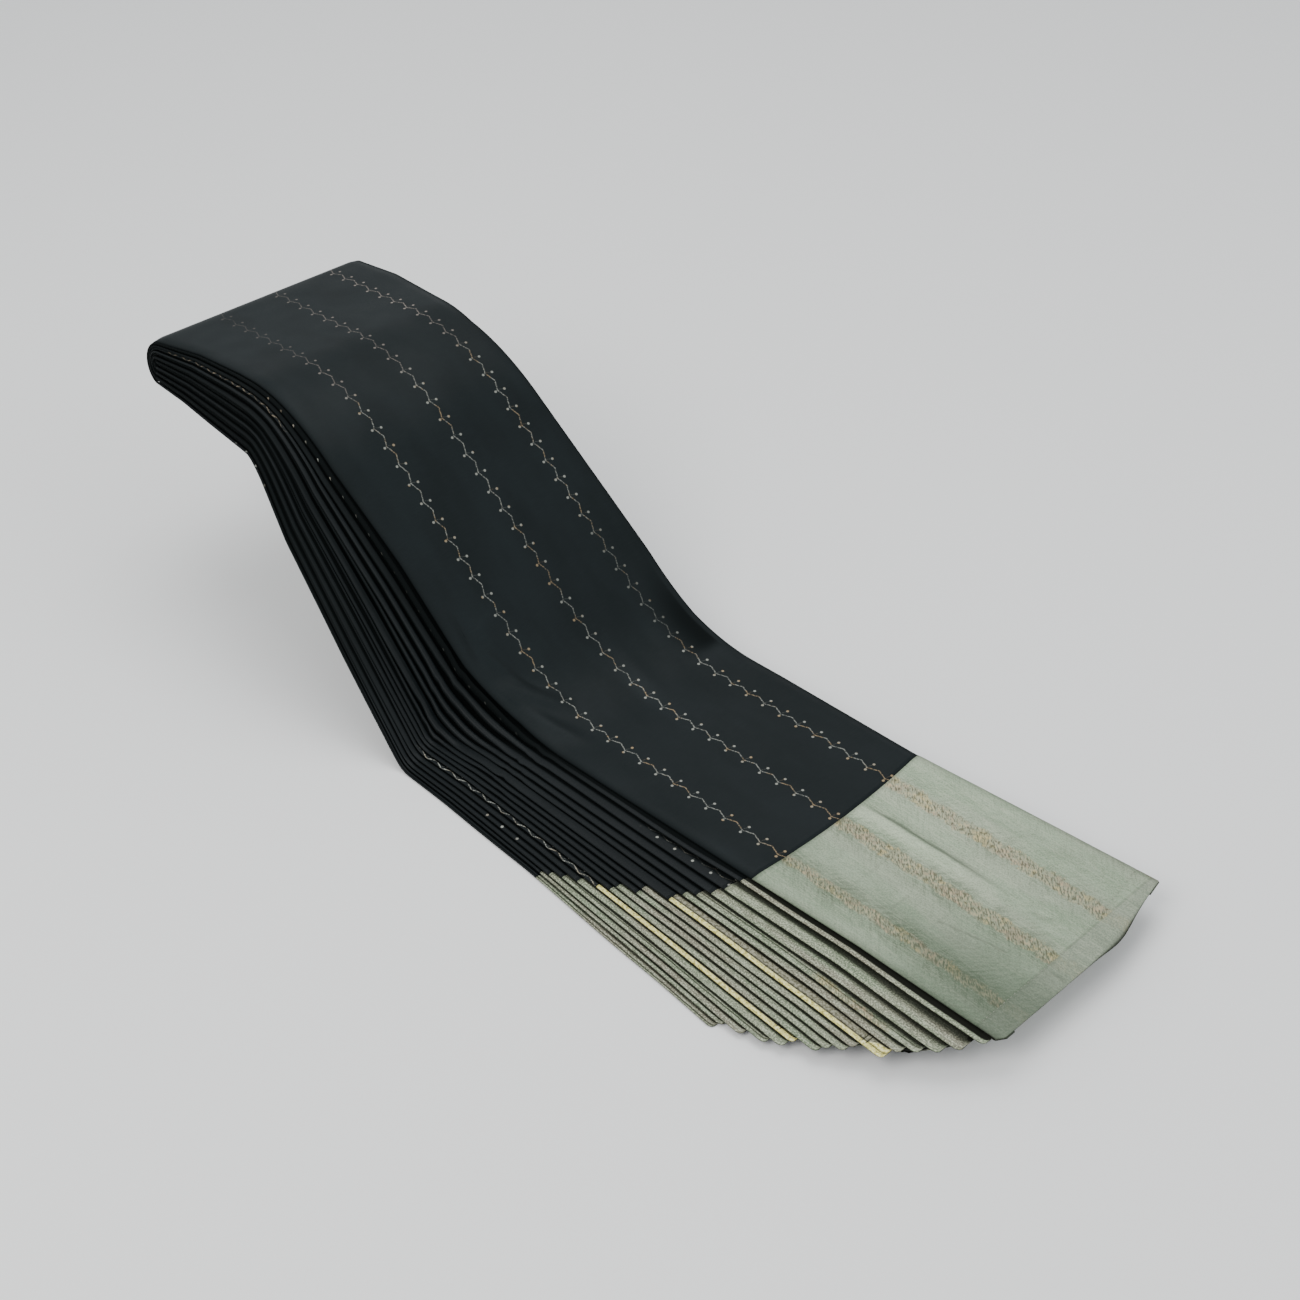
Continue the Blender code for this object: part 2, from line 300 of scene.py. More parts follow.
def linked(made):
    bpy.context.scene.collection.objects.link(made)
    return made


def mesh_object(name, shape, material):
    """An object of an edit mesh, which is freed."""
    data = bpy.data.meshes.new(name)
    shape.to_mesh(data)
    shape.free()
    data.materials.append(material)
    return linked(bpy.data.objects.new(name, data))


SHEET_WALL = 0.35
HIDDEN_FROM = 200


def hidden_across(row, lengths):
    return [length + HIDDEN_FROM for length in lengths]


def no_motif(x, y):
    return 0


def full_motif(x, y):
    return 1


def cloth_sheet(
    name, slot, nodes, rows, cloth, across_of=hidden_across, pattern_of=no_motif, bowed=False,
):
    """A sheet of cloth: a flat grid whose points are laid on the rows, thickened inwards. It hides
    the nodes that it stands for, and its UV map holds lengths along and across the cloth.

    A row's point holds x, y, z and how much shade is painted on it, as between the folds. Field
    cloth ends at the seam, and other cloth starts there.
    """
    count_along = len(rows) - 1
    count_across = len(rows[0]) - 1
    at_seam = count_along if slot == "field_cloth" else 0
    along, across = cloth_coordinates(rows, at_seam, across_of, bowed)
    sheet = bmesh.new()
    bmesh.ops.create_grid(sheet, x_segments=count_along, y_segments=count_across, size=1)
    threads = sheet.loops.layers.uv.new("cloth")
    shade = sheet.verts.layers.float.new("shade")
    motif = sheet.verts.layers.float.new("motif")
    where = {}
    for vert in sheet.verts:
        i = round((vert.co.x + 1) / 2 * count_along)
        j = round((vert.co.y + 1) / 2 * count_across)
        where[vert] = (i, j)
    for face in sheet.faces:
        face.smooth = True
        for loop in face.loops:
            i, j = where[loop.vert]
            loop[threads].uv = (across[i][j] * MM, along[i][j] * MM)
    for vert, (i, j) in where.items():
        point = rows[i][j]
        vert.co = placed(point[:3])
        vert[shade] = point[3]
        vert[motif] = pattern_of(*point[:2])
    piece = mesh_object(name, sheet, cloth)
    thick = piece.modifiers.new("Wall", "SOLIDIFY")
    thick.thickness = SHEET_WALL * MM
    thick.offset = -1
    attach(piece, "root")
    if nodes:
        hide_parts(*nodes)


LONG_CREASE_AT = 20
LONG_CREASE_DRIFT = 0.014
LONG_CREASE_HEIGHT = 2
LONG_CREASE_RISE = 15
LONG_CREASE_FALL = 5
LONG_CREASE_SPAN = (40, 70, 40, 95)


def share_of_way(x, y, x0, y0, x1, y1):
    """How far along a line a point lies, and its distance from the line."""
    along_x, along_y = x1 - x0, y1 - y0
    length = math.hypot(along_x, along_y)
    share = ((x - x0) * along_x + (y - y0) * along_y) / length ** 2
    aside = ((x - x0) * along_y - (y - y0) * along_x) / length
    return share, aside


def long_crease(x, y):
    """The border's long crease beside the middle band: a slow rise and a sharp fall past it."""
    crest = LONG_CREASE_AT + LONG_CREASE_DRIFT * x
    rise = ease(crest - LONG_CREASE_RISE, crest, y)
    fall = ease(crest + LONG_CREASE_FALL, crest, y)
    return LONG_CREASE_HEIGHT * within(x, *LONG_CREASE_SPAN) * min(rise, fall)


def relief(x, y):
    """How far the panel stands up or sinks at its creases."""
    height = long_crease(x, y)
    for *ends, half_width, ridge in CREASES:
        share, aside = share_of_way(x, y, *ends)
        if 0 < share < 1:
            height += ridge * math.sin(math.pi * share) * hump(aside / half_width)
    return height + sum(high * waver(x, y, seed, length) for high, seed, length in WAVES)


SEAM_BOW = 5
SEAM_BOW_SLOPE = -0.02566
SEAM_BOW_CURVE = -0.000571
SEAM_BOW_FADES = 45


def seam_bow(x, y):
    """How far the panel's threads are drawn towards the hem about its seam."""
    bow = SEAM_BOW + SEAM_BOW_SLOPE * y + SEAM_BOW_CURVE * y * y
    return bow * ease(SEAM_BOW_FADES, 0, abs(x))


CORNER_ROUNDED = 5
CORNER_REACH = 7
CORNER_LENGTH = 40


def hem_back(x, y):
    """How far the border is drawn back: more to the right, so that its hem runs askew, and at its
    near corner, which is rounded."""
    askew = HEM_CORNER_BACK * max(0, y / column(x, PANEL_RIGHT)) ** 1.5 * max(0, x) / HEM_X
    from_edge = (y - column(HEM_X, PANEL_LEFT) + OVERHANG) / CORNER_REACH
    rounded = CORNER_ROUNDED * max(0, 1 - max(0, from_edge)) ** 2
    return askew + rounded * ease(HEM_X - CORNER_LENGTH, HEM_X, x)


HEM_STEP = 0.35
HEM_SUNK = -0.35
HEM_SUNK_WIDTH = 1.1
PUCKER = 0.3
PUCKER_PITCH = 7.3
PUCKER_LENGTH = 6
PUCKERS_REACH = 12


def hem_relief(x, y):
    """The doubled hem past the stitch line, which is sunk, with small puckers either side."""
    from_line = x - STITCH_LINE
    step = HEM_STEP * ease(0.5, 2.5, from_line)
    sunk = HEM_SUNK * hump(from_line / HEM_SUNK_WIDTH)
    uneven = 2 * noise.noise(Vector((y / 23, 4, 4)))
    pucker = PUCKER * math.sin(y * 2 * math.pi / PUCKER_PITCH + uneven)
    return step + sunk + pucker * hump(from_line / PUCKER_LENGTH)


# columns: distance in from the edge, height above the underside, share of the edge's shade
PANEL_EDGE = (
    (15, 0.05, 1),
    (7, 0.02, 1),
    (0.8, 0, 1),
    (0.45, 0.08, 1),
    (0.17, 0.28, 1),
    (0.02, 0.6, 1),
    (0.05, 0.95, 0.9),
    (0.25, 1.22, 0.8),
    (0.6, 1.38, 0.7),
    (1.2, 1.47, 0.6),
    (2.2, 1.53, 0.45),
    (3.6, 1.57, 0.3),
    (5.4, 1.6, 0.16),
    (7.5, 1.6, 0.06),
    (10, 1.6, 0),
)
SLOPE_STEP = 0.8
SLOPE_NEUTRAL = 0.07
SLOPE_SHADES = 0.9
PANEL_COLUMNS = 66
CREASE_AT = 22.5
CREASE_REACH = 10
CREASE_CLOSER = 0.6
EDGE_SAG = 1.1
BORDER_EDGE_SAG = 0.5
FIELD_EDGE_SHADE = 0.85
BORDER_EDGE_SHADE = 0.6
HOLLOW_SHADE = 0.78


def closer_at_crease(y):
    """Draws the panel's columns together where its long crease runs."""
    off = y - CREASE_AT
    return CREASE_AT + off * (1 - CREASE_CLOSER * hump(off / CREASE_REACH))


def panel_section(x, left, right):
    """Points across the panel, from the flap under its left fold to the one under its right fold:
    y, height above the panel's underside, and shade."""
    on_border = ease(-3, 3, x)
    sag = blend(EDGE_SAG, BORDER_EDGE_SAG, on_border)
    darkest = blend(FIELD_EDGE_SHADE, BORDER_EDGE_SHADE, on_border)
    left -= OVERHANG * ease(-420, -280, x)
    near, far = [], []
    for inside, lift, shade in PANEL_EDGE:
        drop = sag * (1 - ease(0, 10, inside)) * ease(-0.1, 0.2, lift)
        near.append((left + inside, lift - drop, shade * darkest))
        far.append((right - inside, lift - drop, shade * darkest))
    places = [blend(near[-1][0], far[-1][0], i / PANEL_COLUMNS) for i in range(1, PANEL_COLUMNS)]
    middle = [(closer_at_crease(y), PANEL_WALL, 0) for y in places]
    return near + middle + far[::-1]


def turned_from_light(x, y):
    """How much darker the silk looks where a crease turns it away from the light."""
    slope = (relief(x, y + SLOPE_STEP) - relief(x, y - SLOPE_STEP)) / (2 * SLOPE_STEP)
    return min(0.5, max(0, SLOPE_NEUTRAL - SLOPE_SHADES * slope))


def hollow_at_foot(x, y):
    """Painted shade in the hollow where the slope meets the flat, on the panel's right."""
    return HOLLOW_SHADE * within(x, -245, -226, 105, 18) * ease(38, 82, y)


def flat_panel_row(x):
    row = []
    for y, lift, shade in panel_section(x, column(x, PANEL_LEFT), column(x, PANEL_RIGHT)):
        upper = blend(0.3, 1, ease(0.9, 1.5, lift))
        bowed = x + seam_bow(x, y)
        height = level(1, bowed, y) + lift + relief(bowed, y) * upper
        if x > STITCH_LINE - PUCKERS_REACH:
            height += hem_relief(x, y) * upper
        shade = max(shade, hollow_at_foot(x, y) * upper, turned_from_light(bowed, y) * upper)
        row.append((bowed - hem_back(x, y), y, height, shade))
    return row


TURN_STEPS = 20


def round_turn(y, radius, angle, shade):
    """A point of the turn at the far end, at an angle from its top."""
    reach = radius * math.sin(angle)
    height = turn_circle(y)[0] + radius * math.cos(angle) + TOP_FALL * reach
    return TURN_X - reach, y, height, shade


def panel_rows():
    """The panel's field stretch: tucked end, turn and the run to the seam."""
    rows = []
    section = panel_section(TURN_X, column(TURN_X, PANEL_LEFT), column(TURN_X, PANEL_RIGHT))
    for under in spread(TUCK, 4, 6):
        x = TURN_X + under
        rows.append([(x, y, level(0, x, y) - TUCK_GAP - lift, shade) for y, lift, shade in section])
    for step in range(TURN_STEPS + 1):
        angle = math.pi * (1 - step / TURN_STEPS)
        rows.append([
            round_turn(y, turn_circle(y)[1] + lift, angle, shade) for y, lift, shade in section
        ])
    return rows + [flat_panel_row(x) for x in spread(TURN_X, -SEAM_GAP / 2, 4.5)[1:]]


# columns: distance out past the hem line, drop below the top, as the hem turns under
HEM_TURN = (
    (0.35, 0.12), (0.6, 0.45), (0.65, 0.9), (0.4, 1.35), (-0.3, 1.6), (-4, 1.6), (-9, 1.6)
)
HEM_GAPE = 3.4
HEM_GAPE_SINKS = 0.8
HEM_GAPE_AT = 48
HEM_GAPE_REACH = 26


def hem_rows():
    """The hem's turned edge, gaping a little on the right where the layer under it shows."""
    last = flat_panel_row(HEM_X)
    rows = []
    for out, drop in HEM_TURN:
        row = []
        for x, y, z, shade in last:
            gape = HEM_GAPE * hump((y - HEM_GAPE_AT) / HEM_GAPE_REACH) * ease(0.1, 0.9, drop)
            forward = out + (gape if out > -1 else 0)
            down = drop + HEM_GAPE_SINKS * gape
            # The cloth turned under the hem gets painted shade as it drops.
            row.append((x + forward, y, z - down, max(shade, ease(0.2, 0.9, drop))))
        rows.append(row)
    return rows


# The fabric's patterns, as node groups


# A Mix node's sockets: share and two colours, and the mixed colour
MIX_INPUTS = (0, 6, 7)
MIX_OUTPUT = 2


class Wiring:
    """Adds nodes to a tree and joins them. A colour is given as three numbers."""

    def __init__(self, tree):
        self.tree = tree

    def feed(self, socket, value):
        if isinstance(value, bpy.types.NodeSocket):
            self.tree.links.new(value, socket)
        else:
            socket.default_value = (*value, 1) if isinstance(value, tuple) else value

    def add(self, kind, *values, **settings):
        """A node with its settings and what its first inputs are fed."""
        node = self.tree.nodes.new(kind)
        for key, value in settings.items():
            setattr(node, key, value)
        for socket, value in zip(node.inputs, values):
            self.feed(socket, value)
        return node

    def settle(self, node, values):
        for label, value in values.items():
            self.feed(node.inputs[label], value)

    def math(self, operation, *values):
        return self.add("ShaderNodeMath", *values, operation=operation).outputs[0]

    def chain(self, operation, first, *more):
        for value in more:
            first = self.math(operation, first, value)
        return first

    plus = partialmethod(chain, "ADD")
    times = partialmethod(chain, "MULTIPLY")
    most = partialmethod(chain, "MAXIMUM")
    minus = partialmethod(math, "SUBTRACT")

    def vector(self, x, y, z=0):
        return self.add("ShaderNodeCombineXYZ", x, y, z).outputs[0]

    def ramp(self, value, low, high, to_low=0, to_high=1):
        limits = (value, low, high, to_low, to_high)
        return self.add("ShaderNodeMapRange", *limits, interpolation_type="SMOOTHSTEP").outputs[0]

    def noise(self, vector, scale, detail=2, roughness=0.5):
        node = self.add("ShaderNodeTexNoise", vector)
        self.settle(node, {"Scale": scale, "Detail": detail, "Roughness": roughness})
        return node.outputs["Fac"]

    def streaks(self, x, per_x, y, per_y, detail, roughness, z=0):
        """Noise with its own number of cells to the millimetre each way."""
        place = self.vector(self.times(x, per_x), self.times(y, per_y), z)
        return self.noise(place, 1, detail, roughness)

    def mix(self, share, first, second):
        node = self.add("ShaderNodeMix", data_type="RGBA")
        for index, value in zip(MIX_INPUTS, (share, first, second)):
            self.feed(node.inputs[index], value)
        return node.outputs[MIX_OUTPUT]

    def layered(self, colour, *layers):
        """A colour under layers, each a share and its colour."""
        for share, over in layers:
            colour = self.mix(share, colour, over)
        return colour

    def group(self, tree, along, across, **more):
        node = self.add("ShaderNodeGroup", node_tree=tree)
        self.settle(node, {"Along": along, "Across": across, **more})
        return node.outputs

    def results(self, **values):
        """Gives a node group its outputs, and returns it."""
        for label in values:
            self.tree.interface.new_socket(label, in_out="OUTPUT", socket_type="NodeSocketFloat")
        out = self.add("NodeGroupOutput").inputs
        for label, value in values.items():
            self.feed(out[label], value)
        return self.tree


def pattern(name, *more):
    """Wires of a new node group and its inputs: millimetres along and across, and more."""
    tree = bpy.data.node_groups.new(name, "ShaderNodeTree")
    labels = ("Along", "Across", *more)
    for label in labels:
        tree.interface.new_socket(label, in_out="INPUT", socket_type="NodeSocketFloat")
    wires = Wiring(tree)
    given = wires.add("NodeGroupInput").outputs
    return wires, *(given[label] for label in labels)


def distance_to_point(wires, along, across, point):
    off_along, off_across = wires.minus(along, point[0]), wires.minus(across, point[1])
    squares = wires.times(off_along, off_along), wires.times(off_across, off_across)
    return wires.math("SQRT", wires.plus(*squares))


def distance_to_line(wires, along, across, start, end):
    """Distance to the line between two points."""
    length, breadth = end[0] - start[0], end[1] - start[1]
    square = length ** 2 + breadth ** 2
    off_along, off_across = wires.minus(along, start[0]), wires.minus(across, start[1])
    share = wires.plus(
        wires.times(off_along, length / square), wires.times(off_across, breadth / square)
    )
    share = wires.math("MINIMUM", wires.most(share, 0), 1)
    rest_along = wires.minus(off_along, wires.times(share, length))
    rest_across = wires.minus(off_across, wires.times(share, breadth))
    return distance_to_point(wires, rest_along, rest_across, (0, 0))


# A vine's repeat, in millimetres of cloth along and across from its right-hand berry
VINE_REPEAT = 19
VINE_SPACING = 61.5
STEM_OFFSET = 4.7
STEM_STARTS = 1.3
STEM_SWING = -1.45
STEM_SHARPER = -0.22
BERRY = 1.2
BERRIES_AT = ((1, -9), (0, 0))
SPUR = ((1.2, -8.2), (2, -6.2))
STALK = ((0.3, -1.2), (1.9, -5))
THREAD = 0.35


def vine_pattern():
    """A woven stem in a soft zigzag with two berries to a repeat, broken up by the threads."""
    wires, along, across = pattern("vine stripe")
    to_end, to_side = VINE_REPEAT / 2, VINE_SPACING / 2
    place = wires.math("WRAP", wires.math("SNAP", along, THREAD), to_end, -to_end)
    aside = wires.math("SNAP", across, THREAD)
    aside = wires.math("WRAP", aside, to_side - STEM_OFFSET, -to_side - STEM_OFFSET)
    phase = wires.times(wires.minus(place, STEM_STARTS), 2 * math.pi / VINE_REPEAT)
    swing = wires.times(wires.math("COSINE", phase), STEM_SWING)
    sharper = wires.times(wires.math("COSINE", wires.times(phase, 3)), STEM_SHARPER)
    off_stem = wires.math("ABSOLUTE", wires.minus(aside, wires.plus(swing, sharper, -STEM_OFFSET)))
    stem = wires.most(
        wires.ramp(off_stem, 0.28, 0.66, 1, 0),
        wires.ramp(distance_to_line(wires, place, aside, *SPUR), 0.2, 0.5, 0.8, 0),
        wires.ramp(distance_to_line(wires, place, aside, *STALK), 0.1, 0.4, 0.28, 0),
    )
    from_berries = [distance_to_point(wires, place, aside, point) for point in BERRIES_AT]
    berry = wires.most(*(wires.ramp(far, BERRY - 0.25, BERRY + 0.2, 1, 0) for far in from_berries))
    broken = wires.noise(wires.vector(along, across), 0.75, 1, 0.5)
    stem = wires.times(stem, wires.ramp(broken, 0.38, 0.6, 0.16, 0.95))
    tone = wires.noise(wires.vector(wires.times(along, 0.03), wires.times(across, 0.05)), 2, 3, 0.7)
    return wires.results(Mask=wires.most(stem, berry), Berry=berry, Tone=tone)


def weave_pattern():
    """Fine ribs of warp and weft, as a height."""
    wires, along, across, pitch, slub = pattern("fine weave", "Pitch", "Slub")
    turn = wires.math("DIVIDE", 2 * math.pi, pitch)
    warp, weft = (wires.math("SINE", wires.times(place, turn)) for place in (along, across))
    slubs = wires.streaks(along, 1.6, across, 0.07, 3, 0.6)
    height = wires.plus(wires.times(warp, weft), wires.times(slubs, slub))
    return wires.results(Height=height, Slubs=slubs)


SLANT = math.sqrt(0.5)
BAND_HALF_WIDTH = 5.2
BAND_SWING = 0.9
BAND_SWINGS_EVERY = 34
RIB_PITCH = 5.4


def off_band(wires, across):
    """How far off a place lies from the middle of the nearest vine or band."""
    return wires.math("WRAP", wires.plus(across, STEM_OFFSET), VINE_SPACING / 2, -VINE_SPACING / 2)


def brocade_pattern():
    """A band of small slanting dabs of gold and copper thread, ragged at its edges."""
    wires, along, across = pattern("brocade band")
    place = wires.vector(along, across)
    turn = wires.times(along, 2 * math.pi / BAND_SWINGS_EVERY)
    swing = wires.times(wires.math("SINE", turn), BAND_SWING)
    off_middle = wires.math("ABSOLUTE", wires.minus(off_band(wires, across), swing))
    half = wires.times(BAND_HALF_WIDTH, wires.ramp(across, -75, -30, 0.68, 1))
    edge = wires.times(half, wires.plus(wires.times(wires.noise(place, 0.22, 2, 0.7), 1.8), 0.45))
    over = wires.times(wires.minus(along, across), SLANT)
    way = wires.times(wires.plus(along, across), SLANT)
    streak = wires.streaks(over, 0.78, way, 0.2, 1, 0.7)
    dense = wires.ramp(wires.noise(place, 0.09, 1, 0.5), 0.34, 0.56, 0.45, 1)
    return wires.results(
        Band=wires.ramp(wires.minus(edge, off_middle), -1.4, 2),
        Light=wires.times(wires.ramp(streak, 0.5, 0.62), dense),
        Dark=wires.ramp(streak, 0.48, 0.39),
        Tone=wires.streaks(along, 0.045, across, 0.06, 2, 0.7),
    )


def feather_pattern():
    """Barbs and bent ribs that slant away from each band, and the deeper zone about it."""
    wires, along, across = pattern("feathered ground")
    off = off_band(wires, across)
    aside = wires.math("ABSOLUTE", off)
    barb = wires.plus(along, wires.times(aside, 0.9))
    slant = wires.plus(along, wires.times(off, 0.9))
    bent = wires.streaks(along, 0.05, aside, 0.08, 2, 0.6)
    turn = wires.plus(wires.times(slant, 2 * math.pi / RIB_PITCH), wires.times(bent, 22))
    clouds = wires.ramp(wires.streaks(along, 0.02, across, 0.03, 3, 0.6), 0.3, 0.7, 0.35, 1.1)
    zone = wires.times(wires.ramp(aside, 3, 22, 1, 0), clouds)
    return wires.results(
        Barbs=wires.streaks(barb, 0.34, aside, 0.06, 2, 0.7),
        Zone=wires.times(zone, wires.ramp(across, -60, 70, 1, 0.3)),
        Ribs=wires.ramp(wires.math("SINE", turn), -0.7, 0.9),
    )


VINES = vine_pattern()
WEAVE = weave_pattern()
BROCADE = brocade_pattern()
FEATHER = feather_pattern()


def new_material(name):
    """A material, its wires and its shader."""
    made = bpy.data.materials.new(name)
    made.use_nodes = True
    return made, Wiring(made.node_tree), made.node_tree.nodes["Principled BSDF"]


def speckled_material(name, dark, light, cells, fineness, roughness):
    """A plain material whose colour wavers between two."""
    made, wires, shader = new_material(name)
    place = wires.add("ShaderNodeTexCoord").outputs["Object"]
    speckle = wires.noise(place, cells, 2, fineness)
    wires.settle(shader, {"Base Color": wires.mix(speckle, dark, light), "Roughness": roughness})
    return made


def cloth_material(name, gloss, sheen, sheen_tint):
    """A material and its wires, shader, millimetres along and across the cloth, shade and motif."""
    made, wires, shader = new_material(name)
    wires.settle(shader, {"Specular IOR Level": gloss, "Sheen Weight": sheen})
    wires.settle(shader, {"Sheen Roughness": 0.35, "Sheen Tint": sheen_tint})
    lengths = wires.add("ShaderNodeSeparateXYZ", wires.add("ShaderNodeUVMap", uv_map="cloth").outputs[0])
    across, along = (wires.times(lengths.outputs[i], 1 / MM) for i in (0, 1))
    marks = [wires.add("ShaderNodeAttribute", attribute_name=mark) for mark in ("shade", "motif")]
    return made, wires, shader, along, across, *(mark.outputs["Fac"] for mark in marks)


def finish_cloth(wires, shader, colour, gap, roughness, metallic, shade, height, strength, distance):
    """Darkens the cloth to the gap's colour where shade is painted on it, and raises its threads. In
    painted shade it is dull metal, so that it doesn't glint; metallic is its share in the open and in
    shade."""
    bump = wires.add("ShaderNodeBump")
    wires.settle(bump, {"Strength": strength, "Distance": distance * MM, "Height": height})
    wires.settle(shader, {
        "Base Color": wires.mix(shade, colour, gap),
        "Roughness": wires.ramp(shade, 0, 1, roughness, 0.95),
        "Metallic": wires.ramp(shade, 0, 1, *metallic),
        "Normal": bump.outputs[0],
    })


def silk_material(name, dark, light, gloss, sheen, seam_gold, far_zari, gilding):
    """Nearly black silk with zari vines woven into it."""
    made, wires, shader, *given = cloth_material(name, gloss, sheen, (0.6, 0.8, 0.85))
    along, across, shade, motif = given
    vine = wires.group(VINES, along, across)
    weave = wires.group(WEAVE, along, across, Pitch=0.45, Slub=0.8)
    clouds = wires.streaks(along, 0.008, across, 0.02, 3, 0.55)
    ground = wires.mix(wires.ramp(clouds, 0.3, 0.7), dark, light)
    slubs = wires.times(wires.ramp(weave["Slubs"], 0.45, 0.75), 0.2)
    ground = wires.mix(slubs, ground, (0.015, 0.02, 0.022))
    gold = wires.times(wires.ramp(vine["Tone"], 0.5, 0.6), gilding)
    gold = wires.most(gold, wires.ramp(along, 8, 30, seam_gold, 0))
    zari = wires.mix(gold, (0.33, 0.338, 0.3), (0.37, 0.245, 0.11))
    zari = wires.mix(wires.ramp(along, 545, 590), zari, far_zari)
    shows = wires.times(motif, wires.ramp(along, 200, 320, 1, 0.78))
    mask = wires.times(vine["Mask"], shows)
    glint = wires.times(wires.math("MINIMUM", wires.times(vine["Berry"], motif), 1), 0.7)
    shade = wires.times(shade, wires.minus(1, glint))
    height = wires.plus(wires.times(weave["Height"], 0.05), wires.times(mask, 0.3))
    colour = wires.mix(mask, ground, zari)
    # The colour of the painted shade between the folds.
    gap = (0.0065, 0.0085, 0.0085)
    finish_cloth(wires, shader, colour, gap, 0.42, (0, 0.7), shade, height, 0.5, 0.3)
    return made


# Small creases pressed into the wide border. columns: x and y of one end, of the other, and depth
PRESSED_CREASES = (
    (130, -33.6, 158, -27, 0.55),
    (158, -27, 183, -23.5, 0.55),
    (60, -11, 60, -52, 0.22),
    (97, -31, 97, -49, 0.28),
    (130, -18, 130, -50, 0.2),
    (171, 21, 187, 25, 0.3),
    (214, -20, 231, -17, 0.35),
)

# How much wider the vines stand in the weave than on the panel, left and right of the middle one
VINES_EVEN_LEFT = VINE_SPACING / 60
VINES_EVEN_RIGHT = VINE_SPACING / 63
STITCH_LINE_ALONG = -STITCH_LINE
# The first colour is the pale threads and the painted highlight on one side of the long crease; the
# second is the deep green about the bands and the painted shade on the crease's other side.
HIGHLIGHT_AND_PALE_THREAD = (0.56, 0.62, 0.46)
SHADE_AND_DEEP_GREEN = (0.14, 0.19, 0.11)
DARK_GRAIN = (0.06, 0.07, 0.045)


def pressed_creases(wires, along, across):
    """How deep the cloth lies in one of the small creases."""
    place = wires.vector(along, across)
    wander = wires.noise(place, 0.12, 2, 0.6)
    moved = wires.plus(across, wires.times(wires.minus(wander, 0.5), 5))
    deepest = 0
    for x0, y0, x1, y1, depth in PRESSED_CREASES:
        ends = (-x0, y0 * VINES_EVEN_LEFT), (-x1, y1 * VINES_EVEN_LEFT)
        line = wires.ramp(distance_to_line(wires, along, moved, *ends), 0.2, 2.2, depth, 0)
        deepest = wires.most(line, deepest)
    return wires.times(deepest, wires.ramp(wires.noise(place, 0.2, 1, 0.5), 0.3, 0.6, 0.4, 1))


def creased_ground(wires, along, across, ground, grain):
    """The wide border's ground: a painted highlight and painted shade either side of its long crease,
    paler past the stitches.
    """
    past_crest = wires.minus(across, LONG_CREASE_AT * VINES_EVEN_LEFT)
    fades = wires.ramp(along, -150, -60)
    lit = wires.times(wires.ramp(past_crest, -16, -7), wires.ramp(past_crest, 0.5, -1.5), fades, 0.35)
    turned = wires.times(wires.ramp(past_crest, 0, 2), wires.ramp(past_crest, 17, 3), fades, 0.3)
    strip = wires.ramp(along, STITCH_LINE_ALONG - 0.2, STITCH_LINE_ALONG - 1)
    off_line = wires.math("ABSOLUTE", wires.minus(along, STITCH_LINE_ALONG))
    line = wires.times(wires.ramp(off_line, 0.4, 1.5, 0.5, 0), wires.ramp(grain, 0.4, 0.6, 0.4, 1))
    return wires.layered(
        ground, (lit, HIGHLIGHT_AND_PALE_THREAD), (turned, SHADE_AND_DEEP_GREEN), (wires.times(strip, 0.5), (0.29, 0.3, 0.25)),
        (line, DARK_GRAIN),
    )


def dimmed_to_corner(wires, along, across, colour, ribs):
    """The wide border darker towards its hem, its left and its near corner, where ribs show."""
    near_corner = wires.times(wires.ramp(along, -90, -190), wires.ramp(across, 0, -52))
    towards_hem = wires.times(wires.ramp(along, -40, -235), 0.2)
    left = wires.times(wires.ramp(across, 25, -60), 0.26)
    dim = wires.plus(towards_hem, left, wires.times(near_corner, 0.22))
    ribbed = wires.times(near_corner, ribs, 0.2)
    return wires.layered(colour, (dim, (0.05, 0.08, 0.045)), (ribbed, (0.07, 0.09, 0.055)))


